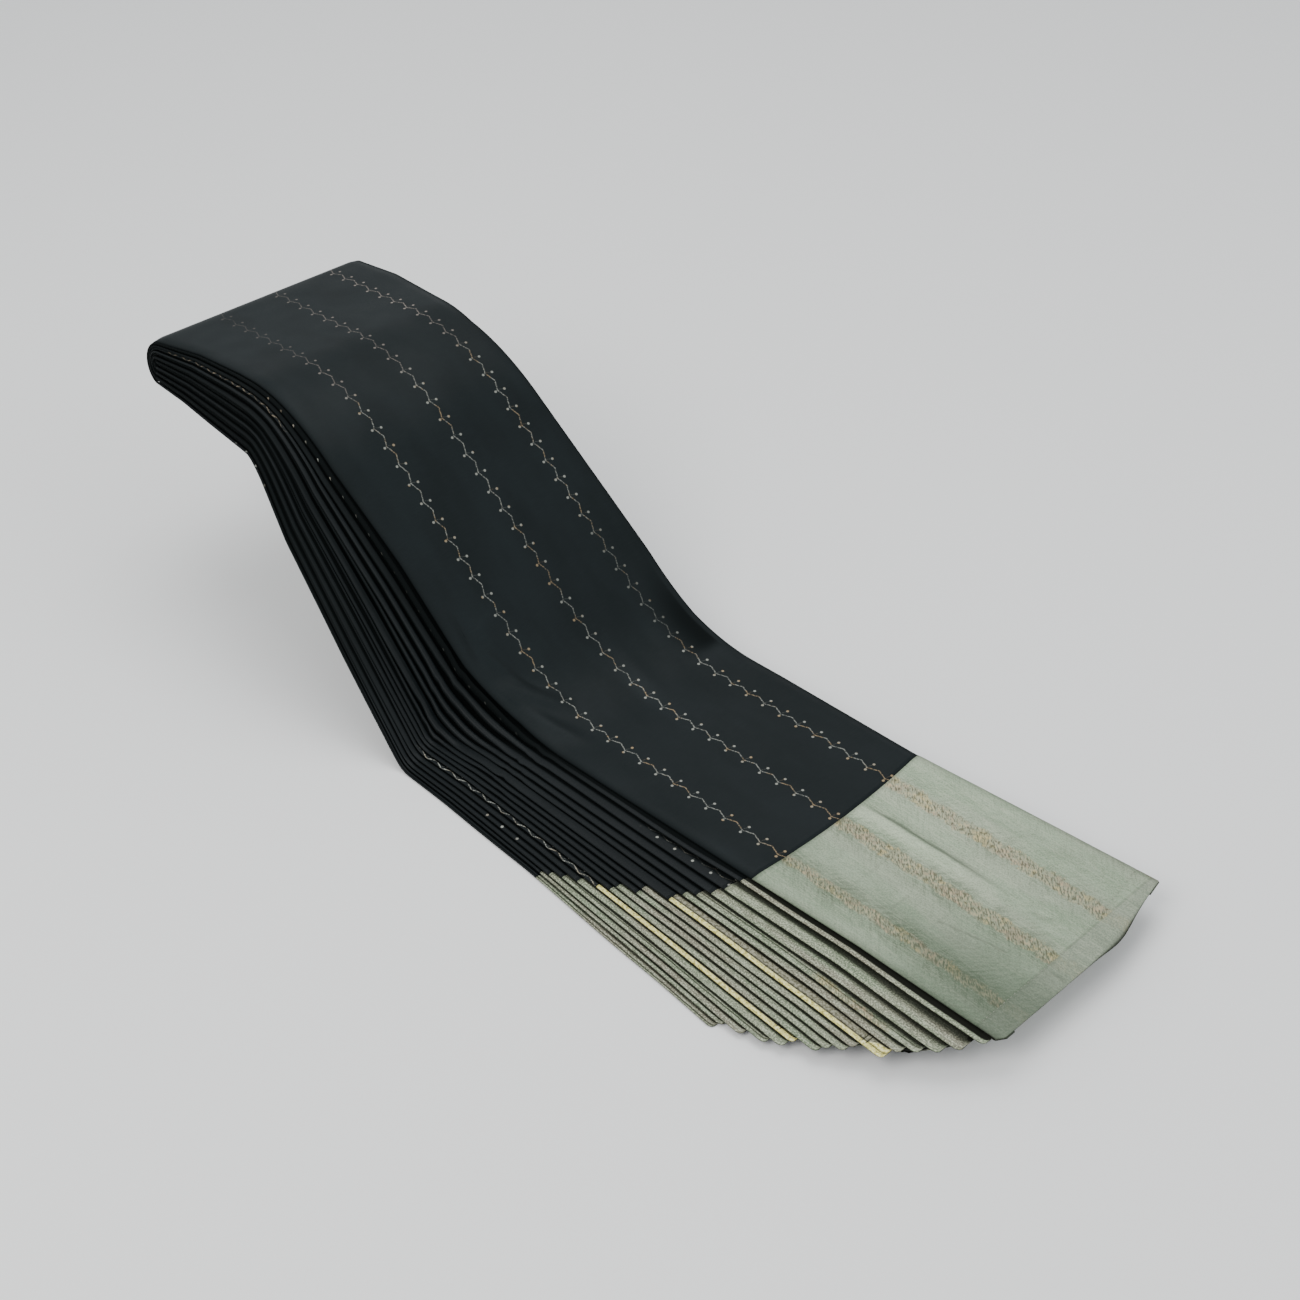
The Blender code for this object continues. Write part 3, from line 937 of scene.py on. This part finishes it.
def tissue_material(name, silver, green, brown, grain_strength, creased):
    """Pale sage tissue silk with a feathered ground and bands of gold and copper brocade."""
    made, wires, shader, *given = cloth_material(name, 0.35, 0.03, (0.9, 1, 0.9))
    along, across, shade, motif = given
    band = wires.group(BROCADE, along, across)
    feather = wires.group(FEATHER, along, across)
    weave = wires.group(WEAVE, along, across, Pitch=0.6, Slub=1.2)
    grain = wires.streaks(along, 0.8, across, 0.8, 1, 0.6)
    threads = wires.streaks(along, 0.06, across, 0.5, 2, 0.7)
    blotch = wires.streaks(along, 0.011, across, 0.05, 3, 0.6)
    tint = wires.streaks(along, 0.006, across, 0.03, 2, 0.5, 5)
    on_cloth = wires.ramp(along, STITCH_LINE_ALONG - 0.6, STITCH_LINE_ALONG + 0.6)
    off_hem = wires.plus(wires.times(on_cloth, 0.8), 0.2)
    ground = wires.layered(
        silver, (wires.ramp(blotch, 0.36, 0.62), green), (wires.ramp(tint, 0.46, 0.6), brown)
    )
    if creased:
        ground = creased_ground(wires, along, across, ground, grain)
    zone = wires.times(feather["Zone"], motif, off_hem)
    barbs = wires.ramp(feather["Barbs"], 0.47, 0.6)
    barbs = wires.times(barbs, wires.plus(wires.times(zone, 0.6), 0.14))
    mask = wires.times(band["Band"], motif, off_hem)
    copper = wires.mix(wires.ramp(band["Tone"], 0.4, 0.48), (0.43, 0.27, 0.17), (0.36, 0.32, 0.2))
    thread = wires.mix(wires.ramp(band["Tone"], 0.53, 0.6), copper, (0.46, 0.33, 0.11))
    woven = wires.times(mask, band["Light"])
    colour = wires.layered(
        ground,
        (wires.times(zone, 0.8), SHADE_AND_DEEP_GREEN),
        (barbs, (0.08, 0.105, 0.06)),
        (wires.times(wires.ramp(threads, 0.47, 0.64), 0.35), HIGHLIGHT_AND_PALE_THREAD),
        (wires.times(wires.ramp(grain, 0.49, 0.36), grain_strength), DARK_GRAIN),
        (wires.times(wires.ramp(grain, 0.52, 0.64), grain_strength), (0.58, 0.6, 0.44)),
        (wires.times(mask, 0.36), thread),
        (wires.times(mask, band["Dark"], 0.7), (0.075, 0.065, 0.025)),
        (wires.times(woven, 0.85), wires.mix(0.4, thread, (0.9, 0.8, 0.48))),
    )
    height = wires.plus(wires.times(weave["Height"], 0.08), wires.times(woven, 0.8))
    height = wires.plus(height, wires.times(threads, 0.4), wires.times(grain, 0.5))
    if creased:
        colour = dimmed_to_corner(wires, along, across, colour, feather["Ribs"])
        crease = pressed_creases(wires, along, across)
        # Painted shade in the small creases, beside their bump.
        colour = wires.mix(wires.times(crease, 0.8), colour, (0.1, 0.12, 0.08))
        height = wires.minus(height, wires.times(crease, 2))
    # The colour of the painted shade between the folds.
    gap = (0.018, 0.019, 0.014)
    finish_cloth(wires, shader, colour, gap, 0.45, (0.12, 0.8), shade, height, 0.7, 0.3)
    return made


CREAM_WIDTH = 3.6
CREAM_FLARES = -192
GATHER_PITCH = 3.4


def cream_material():
    """Cream silk at the edge of the contrast pleats, with the tissue past it."""
    made, wires, shader, *given = cloth_material("cream silk", 0.3, 0, (1, 0.95, 0.8))
    along, across, shade, _ = given
    weave = wires.group(WEAVE, along, across, Pitch=0.5, Slub=1)
    fleck = wires.streaks(along, 0.4, across, 0.5, 2, 0.8)
    cream = wires.mix(wires.ramp(fleck, 0.36, 0.5), (0.36, 0.32, 0.08), (0.8, 0.74, 0.26))
    cream = wires.mix(wires.ramp(fleck, 0.52, 0.62), cream, (0.98, 0.95, 0.52))
    tissue = wires.mix(wires.ramp(fleck, 0.4, 0.6), (0.12, 0.115, 0.07), (0.34, 0.33, 0.24))
    flare = wires.ramp(along, CREAM_FLARES, CREAM_FLARES - 14, 0, 6)
    past = wires.minus(wires.minus(across, CREAM_WIDTH), flare)
    colour = wires.mix(wires.ramp(past, 0, 0.6), cream, tissue)
    # Painted shade in small gathers where the cream flares.
    gathers = wires.ramp(wires.math("SINE", wires.times(along, 2 * math.pi / GATHER_PITCH)), 0.2, 0.9)
    pinched = wires.times(
        wires.ramp(along, CREAM_FLARES + 4, CREAM_FLARES),
        wires.ramp(along, CREAM_FLARES - 9, CREAM_FLARES - 5),
        wires.ramp(across, 1.5, 4),
    )
    colour = wires.mix(wires.times(gathers, pinched), colour, (0.03, 0.03, 0.015))
    height = wires.plus(weave["Height"], wires.times(fleck, 2))
    # The colour of the painted shade between the folds.
    gap = (0.016, 0.016, 0.011)
    finish_cloth(wires, shader, colour, gap, 0.5, (0, 0.8), shade, height, 0.5, 0.1)
    return made


SILK = silk_material(
    "black silk", dark=(0.0045, 0.0078, 0.0086), light=(0.0075, 0.0115, 0.0128), gloss=0.115,
    sheen=0.01, seam_gold=0.75, far_zari=(0.235, 0.205, 0.18), gilding=0.8,
)
FOLDED_SILK = silk_material(
    "folded silk", dark=(0.004, 0.006, 0.0068), light=(0.007, 0.0095, 0.0105), gloss=0.14,
    sheen=0, seam_gold=0, far_zari=(0.34, 0.28, 0.2), gilding=0.3,
)
BORDER_TISSUE = tissue_material(
    "border tissue", silver=(0.385, 0.47, 0.335), green=(0.31, 0.4, 0.27),
    brown=(0.39, 0.45, 0.33), grain_strength=0.24, creased=True,
)
TISSUE = tissue_material(
    "silver tissue", silver=(0.245, 0.265, 0.185), green=(0.165, 0.215, 0.13),
    brown=(0.2, 0.185, 0.135), grain_strength=0.6, creased=False,
)
BORDER_CLOTHS = {
    "tissue": ("border_cloth", TISSUE),
    "cream": ("cream_cloth", cream_material()),
}


# The pleats' edges on the left

# columns: distance in from the fold's edge, share of the wall's height, shade
FOLD_NOSE = (
    (0.9, 0.02, 1),
    (0.5, 0.06, 1),
    (0.22, 0.2, 1),
    (0.05, 0.42, 0.95),
    (0.06, 0.66, 0.5),
    (0.26, 0.86, 0.12),
    (0.62, 0.98, 0),
)
NOSE_INDEX = 5
TOPMOST_CROWN = 5.2
TOPMOST_HELD_IN = 2
TONGUE = 6
TONGUE_IN = 3.2
TONGUE_FLATTER = 0.45
FLAP_LIFT = 0.02
FLAP_OVER = 0.8
NARROW_GAP = 3
CROWN_POINTS = 12
# Shares of a crown's width for the folds whose second crease lies near their nose
CREASED_CROWN = (0.07, 0.14, 0.21, 0.28, 0.34, 0.4, 0.47, 0.56, 0.66, 0.78, 0.89, 1)

# x where the two topmost folds come into the panel's shade, and how dark they lie there
UNDER_PANEL = {TOPMOST - 1: (-210, 0.5), TOPMOST: (-90, 0.85)}

# A crown's form in shares of the wall's height, and the share of its width where it is highest
CROWN_RISE = 0.12
CROWN_FALL = 0.72
CROWN_TOP_AT = 0.35

# Its shade. Two numbers in a row stand for the lowest fold and the topmost
CROWN_DARK_FROM = (0.58, 0.54)
CROWN_DARKEST_AT = 0.97
CROWN_SHADE = (0.74, 0.88)
LOWEST_CROWN_SHADE = 0.45

# Shares of a crown's width where it starts to darken and is darkest, for the folds that differ
CROWN_DARKENS = {10: (0.78, 0.97), 15: (0.42, 0.85)}

# Folds whose crown has a second crease. columns: fold, distance from its edge, on the border only
DOUBLE_CREASES = ((0, 1.7, False), (10, 4.3, True), (3, 3.2, True), (12, 4.6, True))
DOUBLE_CREASE_WIDTH = 0.55
DOUBLE_CREASE_SINKS = 0.35
DOUBLE_CREASE_SHADE = 0.85


def fold_gap(number, x):
    """Distance from a fold's edge to the next one's."""
    above = column(x, PANEL_LEFT) if number == TOPMOST else fold_edge(number + 1, x)
    return above - fold_edge(number, x)


def on_raised(x):
    return ease(-300, -400, x)


def fold_shift(number, x):
    """How far a fold's edge strays from its even place."""
    gap = fold_gap(number, x)
    bunched = within(x, -300, -240, 50, 50) * ease(5.5, 9, number)
    swing = min(0.5, gap / 12) + 0.9 * bunched
    even = swing * waver(x, 0, number + 10, blend(95, 42, bunched))
    if number == TOPMOST:
        even += TOPMOST_HELD_IN * ease(-60, 10, x)
    return even + FOLDS[number].strays * on_raised(x) * (0.8 + 0.35 * waver(x, 0, number + 90, 130))


def crown_shape(number, part, y_in, gap, x):
    """Height of a crown in shares of the wall, and its shade, at a share of the visible width."""
    upper = number / TOPMOST
    usual = blend(*CROWN_DARK_FROM, upper), CROWN_DARKEST_AT
    starts, ends = CROWN_DARKENS.get(number, usual)
    if number < TOPMOST:
        starts -= 0.3 * ease(80, 190, x) * ease(10, 12.5, number)
    deepest = blend(*CROWN_SHADE, upper) if number or on_raised(x) else LOWEST_CROWN_SHADE
    if number == TOPMOST:
        deepest = 1
    shade = ease(starts, ends, part) * deepest
    rise = CROWN_RISE * math.sin(math.pi * min(1, part / (2 * CROWN_TOP_AT)))
    height = 1 + rise - CROWN_FALL * ease(starts + 0.12, 1, part)
    for fold, place, border_only in DOUBLE_CREASES:
        if fold == number and gap > place + 1 and (x > FOLDS[number].seam or not border_only):
            dip = hump((y_in - place) / DOUBLE_CREASE_WIDTH)
            height -= DOUBLE_CREASE_SINKS * dip
            shade = max(shade, DOUBLE_CREASE_SHADE * dip)
    return height, shade


def fold_section(number, x, hem):
    """Points round a fold from its lower flap to its upper one: y, share of the wall, and shade."""
    edge = fold_edge(number, x) + fold_shift(number, x)
    inner = leaf_inner(number / PLEATS, x)
    gap = max(2, fold_edge(number, x) + fold_gap(number, x) - edge)
    if number == TOPMOST:
        gap = min(gap, TOPMOST_CROWN)
    tongue = min(1, max(0, (x - hem + TONGUE) / TONGUE)) if hem is not None else 0
    edge += TONGUE_IN * (1 - math.sqrt(max(0, 1 - tongue * tongue)))
    flat = 1 - TONGUE_FLATTER * tongue ** 2
    nose = min(1, gap / NARROW_GAP)
    section = [(inner, FLAP_LIFT, 1), (blend(edge, inner, 0.3), FLAP_LIFT, 1)]
    section += [(edge + y * nose, share * flat, shade) for y, share, shade in FOLD_NOSE]
    start = FOLD_NOSE[-1][0] * nose
    end = max(gap + 0.3, start + 0.8)
    parts = [(i + 1) / CROWN_POINTS for i in range(CROWN_POINTS)]
    if number == 0 or number == 10 and hem is not None:
        parts = CREASED_CROWN
    for part in parts:
        y_in = blend(start, end, part)
        height, shade = crown_shape(number, part, y_in, gap, x)
        section.append((edge + y_in, height * flat, shade))
    last_y, last_share, _ = section[-1]
    section.append((blend(last_y, inner, 0.5), last_share * FLAP_OVER, 1))
    section.append((inner, last_share * FLAP_OVER, 1))
    # Painted shade: each fold's dark share on the raised stretch, and the two topmost under the panel's
    # edge.
    dark = FOLDS[number].dark
    dark = blend(0.3 * dark + 0.2, dark + 0.2, ease(-400, -540, x)) * on_raised(x)
    if number in UNDER_PANEL:
        begins, darkest = UNDER_PANEL[number]
        dark = max(dark, darkest * within(x, -540, begins - 180, 60, 180))
    return [(y, share, shade + min(1, dark) * (1 - shade)) for y, share, shade in section]


def fold_row(number, x, hem=None):
    layer = number / PLEATS
    row = []
    for y, share, shade in fold_section(number, x, hem):
        low = level(layer, x, y)
        room = level(layer + 1 / PLEATS, x, y) - low
        row.append((x, y, low + share * WALL_SHARE * room, shade))
    return row


def turned_fold_row(number, turned):
    """A row of an upper pleat on its way round the far end."""
    partner = TOPMOST - number
    shift = fold_edge(partner, TURN_X) - fold_edge(number, TURN_X)
    shift += fold_shift(partner, TURN_X) - fold_shift(number, TURN_X)
    row = []
    for y, share, shade in fold_section(number, TURN_X, None):
        y += shift * turned
        height = level((number + WALL_SHARE * share) / PLEATS, TURN_X, y)
        row.append(round_turn(y, height - turn_circle(y)[0], math.pi * turned, shade))
    return row


def across_from_edge(stripe):
    """Cloth width counted from the fold's edge, less where the stripe lies."""
    way = -1 if stripe < 0 else 1

    def across(row, lengths):
        return [way * (length - lengths[NOSE_INDEX] - abs(stripe)) for length in lengths]

    return across


COPPER_FOLD = 12
COPPER_SPAN = (108, 158, 15, 15)
COPPER_AT = 6.7
TURNED_STEPS = 14


def make_pleat(number):
    """A fold's two stretches, in field cloth round the far end to the seam, and in border cloth."""
    fold = FOLDS[number]
    label = f"pleat_{number + 1:02d}"

    def vine_shows(x, y):
        if not fold.vine_to:
            return 0
        shows = within(x, fold.vine_from, fold.vine_to, 8, 8)
        if number == TOPMOST:
            shows *= blend(1, 0.4, ease(-470, -410, x))
        return shows * blend(0.5, 1.3, 0.5 + 0.5 * waver(x, 0, number + 60, 11))

    def band_shows(x, y):
        return 0.8 * within(x, *COPPER_SPAN) if number == COPPER_FOLD else 0

    rows = []
    if number >= PLEATS / 2:
        rows = [turned_fold_row(number, step / TURNED_STEPS) for step in range(TURNED_STEPS, 0, -1)]
    start = TURN_X + (0 if rows else SEAM_GAP)
    rows += [fold_row(number, x) for x in spread(start, fold.seam, 5)]
    cloth_sheet(
        f"{label}_field_cloth", "field_cloth", [f"{label}_field"], rows, FOLDED_SILK,
        across_from_edge(fold.vine), vine_shows,
    )
    stripe = 0 if fold.cloth == "cream" else VINE_SPACING * number
    if number == COPPER_FOLD:
        stripe += COPPER_AT
    places = spread(fold.seam + SEAM_GAP, fold.hem - 6, 6) + spread(fold.hem - 5, fold.hem, 1)
    rows = [fold_row(number, x, fold.hem) for x in places]
    slot, cloth = BORDER_CLOTHS[fold.cloth]
    cloth_sheet(
        f"{label}_border_cloth", slot, [f"{label}_border"], rows, cloth, across_from_edge(stripe),
        band_shows,
    )


def panel_across(row, lengths):
    """Cloth width from the middle vine, the outer vines drawn onto the even spacing."""
    middle = min(range(len(row)), key=lambda j: abs(row[j][1]))
    base = lengths[middle] - row[middle][1]
    off = [length - base for length in lengths]
    return [y * (VINES_EVEN_LEFT if y < 0 else VINES_EVEN_RIGHT) for y in off]


OUTER_VINES_WITHIN = 85
VINES_SHOW = 0.83


def three_vines(x, y):
    """How clearly the vines show: less above the foot on the right, and on the top to the left."""
    shows = VINES_SHOW * ease(OUTER_VINES_WITHIN + 4, OUTER_VINES_WITHIN, abs(y))
    at_foot = within(x, -330, -258, 50, 33)
    shows *= blend(1, blend(0.92, 0.5, ease(-50, 60, y)), at_foot)
    on_top = blend(0.45, 1.45, ease(-60, 60, y)) * blend(1.15, 0.8, ease(-600, -720, x))
    return shows * blend(1, on_top, ease(-545, -600, x))


def make_panel():
    cloth_sheet(
        "panel_field_cloth", "field_cloth", ["panel_field"], panel_rows(), SILK, panel_across,
        three_vines, bowed=True,
    )
    places = spread(SEAM_GAP / 2, STITCH_LINE - 3, 4)
    places += spread(STITCH_LINE - 2, STITCH_LINE + 3, 1) + spread(STITCH_LINE + 5, HEM_X, 2.5)
    rows = [flat_panel_row(x) for x in places] + hem_rows()
    cloth_sheet(
        "panel_border_cloth", "border_cloth", ["panel_border"], rows, BORDER_TISSUE, panel_across,
        full_motif, bowed=True,
    )


# The hidden layers' free edges on the right and at the hem, and the underside

# columns: share of a pleat's height, how far out its edge stands, shade
LAYER_EDGE = (
    (0.02, -2.6, 1),
    (0.1, -0.9, 0.75),
    (0.24, -0.2, 0.15),
    (0.45, 0, 0),
    (0.66, -0.2, 0.1),
    (0.8, -0.9, 0.6),
    (0.9, -2.6, 1),
)
EDGE_ROOM = 1.2
EDGE_WAVES = 1.4
EDGE_OFFSETS = 1.6
TURN_DRAWN_IN = 0.8
SHELL_INSET = 2
SHELL_INSET_AT_HEM = 4
RIGHT_ROWS = 150
RIGHT_TURN_STEPS = 4
UNDER_COLUMNS = 29
UNDER_CLEAR = 0.08
UNDER_CLEAR_RAISED = 0.35
UNDER_WAVES = 0.5


def layer_steps():
    """Up the pile: layer, how far its edge stands out, shade, and which pleat it is."""
    return [
        ((pleat + share) / PLEATS, out, shade, pleat)
        for pleat in range(PLEATS) for share, out, shade in LAYER_EDGE
    ]


def edge_stray(pleat, along):
    offset = noise.noise(Vector((0, 0, pleat * 3.7)))
    return EDGE_WAVES * waver(along, 0, pleat + 40, 120) + EDGE_OFFSETS * offset


def right_edge(layer, out, pleat, x):
    return pile_right(layer, x) + min(EDGE_ROOM, out + edge_stray(pleat, x))


def right_row(place):
    """Points up the right side of the field's pile, at a share of the way to the seam."""
    row = []
    for layer, out, shade, pleat in layer_steps():
        x = blend(TURN_X, seam_of_layer(layer), place)
        y = right_edge(layer, out, pleat, x)
        row.append((x, y, level(layer, x, y), shade))
    return row[::-1]


def turned_right_row(turned):
    """The same on its way round the far end."""
    row = []
    for layer, out, shade, pleat in layer_steps():
        y = right_edge(layer, out, pleat, TURN_X)
        middle, radius = turn_circle(y)
        height = level(layer, TURN_X, y) - middle
        reach = math.sqrt(max(0, (radius - TURN_DRAWN_IN) ** 2 - height ** 2)) * turned
        row.append((TURN_X - reach, y, middle + height + TOP_FALL * reach, shade))
    return row[::-1]


def make_right_side():
    turned = range(RIGHT_TURN_STEPS, 0, -1)
    rows = [turned_right_row(step / RIGHT_TURN_STEPS) for step in turned]
    rows += [right_row(i / RIGHT_ROWS) for i in range(RIGHT_ROWS + 1)]
    nodes = ["stack_top", "stack_slope", "stack_flat"]
    cloth_sheet("right_folds_field_cloth", "field_cloth", nodes, rows, SILK)


def border_path(layer, out, pleat, place):
    """A point round the border end of a hidden layer: right side, hem, then back under the fan."""
    hem = HEM_X - HEM_INSET - HEM_LEAN * (1 - layer) - SHELL_INSET_AT_HEM
    if place <= 1:
        x = blend(seam_of_layer(layer), hem, place)
        y = right_edge(layer, out, pleat, x)
        return x + (out * 0.5 if place > 0.97 else 0), y
    if place <= 2:
        left = pile_left(layer, hem) + SHELL_INSET - out
        y = blend(right_edge(layer, out, pleat, hem), left, place - 1)
        return hem + min(EDGE_ROOM, out + 0.6 * edge_stray(pleat, y)), y
    x = blend(hem + out, min(FOLDS[pleat].hem - 12, hem - 4), place - 2)
    return x, pile_left(layer, x) + SHELL_INSET - out


def make_border_end():
    places = spread(0, 1, 1 / 34) + spread(1, 2, 1 / 30)[1:] + spread(2, 3, 1 / 16)[1:]
    rows = []
    for place in places:
        row = []
        for layer, out, shade, pleat in layer_steps():
            x, y = border_path(layer, out, pleat, place)
            # Painted shade on the layers' stretch back under the fan.
            under_fan = ease(1.75, 2, place)
            row.append((x - hem_back(x, y), y, level(layer, x, y), max(shade, under_fan)))
        rows.append(row[::-1])
    cloth_sheet("border_layers_cloth", "border_cloth", ["stack_border"], rows, TISSUE)


def under_places(x, left):
    """Places across the underside, from right to left."""
    right = pile_right(0, x) - 1
    return [blend(left, right, j / UNDER_COLUMNS) for j in range(UNDER_COLUMNS, -1, -1)]


def under_row(x):
    row = []
    for y in under_places(x, leaf_inner(0, x) - 6):
        raised = ease(2, 14, level(0, x, y))
        more = raised * (UNDER_CLEAR_RAISED + UNDER_WAVES * waver(x, y, 77, 50))
        row.append((x, y, level(0, x, y) + UNDER_CLEAR + more, 0))
    return row


def make_underside():
    seam = seam_of_layer(0)
    rows = [under_row(x) for x in spread(TURN_X + 1, seam, 8)]
    cloth_sheet("underside_field_cloth", "field_cloth", [], rows, SILK)
    end = HEM_X - HEM_INSET - HEM_LEAN
    rows = []
    for x in spread(seam + SEAM_GAP, end - 1, 8):
        left = leaf_inner(0, x) - 6 if x < FOLDS[0].hem - 14 else pile_left(0, x) + 1
        rows.append([(x - hem_back(x, y), y, UNDER_CLEAR, 0) for y in under_places(x, left)])
    cloth_sheet("underside_border_cloth", "border_cloth", [], rows, TISSUE)


# Sewing

HEM_STITCHES = 52
STITCH_SIZE = (0.3, 1.15, 0.2)


def make_hem_stitches():
    """Small running stitches along the turned hem of the panel."""
    dark, light = (0.16, 0.17, 0.13), (0.3, 0.31, 0.25)
    thread = speckled_material("hem thread", dark, light, 900, 0.6, 0.6)
    stitches = bmesh.new()
    x = STITCH_LINE
    left, right = column(x, PANEL_LEFT) + 3, column(x, PANEL_RIGHT) - 3
    for i in range(HEM_STITCHES):
        y = blend(left, right, (i + 0.5) / HEM_STITCHES)
        y += 0.5 * noise.noise(Vector((i * 1.7, 2, 5)))
        made = bmesh.ops.create_icosphere(stitches, subdivisions=1, radius=1)["verts"]
        bmesh.ops.scale(stitches, vec=STITCH_SIZE, verts=made)
        lean = Matrix.Rotation(0.1 * noise.noise(Vector((i * 3.1, 8, 1))) + 0.05, 3, "Z")
        bmesh.ops.rotate(stitches, matrix=lean, verts=made)
        height = level(1, x, y) + PANEL_WALL + relief(x, y) + hem_relief(x, y) + 0.05
        for vert in made:
            vert.co = placed(Vector((x - hem_back(x, y), y, height)) + vert.co)
    piece = mesh_object("hem_stitches", stitches, thread)
    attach(piece, "root")


make_panel()
for number in range(PLEATS):
    make_pleat(number)
make_right_side()
make_border_end()
make_underside()
make_hem_stitches()


# Floor, light and camera

FLOOR_SIZE = 6
FLOOR_Z = -0.0004


def make_floor():
    mesh = bmesh.new()
    bmesh.ops.create_grid(mesh, x_segments=1, y_segments=1, size=FLOOR_SIZE)
    for vert in mesh.verts:
        vert.co.z = FLOOR_Z
    dark, light = (0.9, 0.9, 0.895), (0.92, 0.92, 0.915)
    paint = speckled_material("floor paint", dark, light, 3, 0.5, 0.8)
    floor = mesh_object("floor", mesh, paint)


def make_light(name, place, aim, size, power, colour):
    lamp = bpy.data.lights.new(name, "AREA")
    lamp.shape = "DISK"
    lamp.size = size
    lamp.energy = power
    lamp.color = colour
    made = linked(bpy.data.objects.new(name, lamp))
    made.location = place
    made.rotation_euler = (Vector(aim) - Vector(place)).to_track_quat("-Z", "Y").to_euler()


def make_world():
    world = bpy.data.worlds.new("studio")
    world.use_nodes = True
    sky = world.node_tree.nodes["Background"]
    Wiring(world.node_tree).settle(sky, {"Color": (0.95, 0.98, 1), "Strength": 0.75})
    bpy.context.scene.world = world


# The camera's azimuth, tilt from straight down and roll in degrees, each about its axis
CAMERA_TURNS = ((47.77, "Z"), (52.36, "X"), (-1.76, "Z"))
CAMERA_PLACE = (0.98436, -0.81516, 1.0649)
CAMERA_LENS = 54.21
CAMERA_SENSOR = 36


def make_camera():
    data = bpy.data.cameras.new("camera")
    data.lens = CAMERA_LENS
    data.sensor_width = CAMERA_SENSOR
    data.sensor_fit = "HORIZONTAL"
    made = linked(bpy.data.objects.new("camera", data))
    made.matrix_world = Matrix.Translation(CAMERA_PLACE)
    for degrees, axis in CAMERA_TURNS:
        made.matrix_world @= Matrix.Rotation(math.radians(degrees), 4, axis)
    bpy.context.scene.camera = made


# columns: name, place, aim, size, power, colour
LIGHTS = (
    ("key", (0.3, -1.9, 2.2), (-0.1, 0, 0.05), 1.6, 42, (1, 0.99, 0.97)),
    ("fill", (2.2, 0.8, 1.6), (0, 0, 0.05), 1.6, 14, (0.95, 0.98, 1)),
    ("top", (-0.6, 0.6, 2.6), (-0.2, 0, 0.1), 2, 26, (0.97, 0.99, 1)),
)

make_floor()
for light in LIGHTS:
    make_light(*light)
make_world()
make_camera()
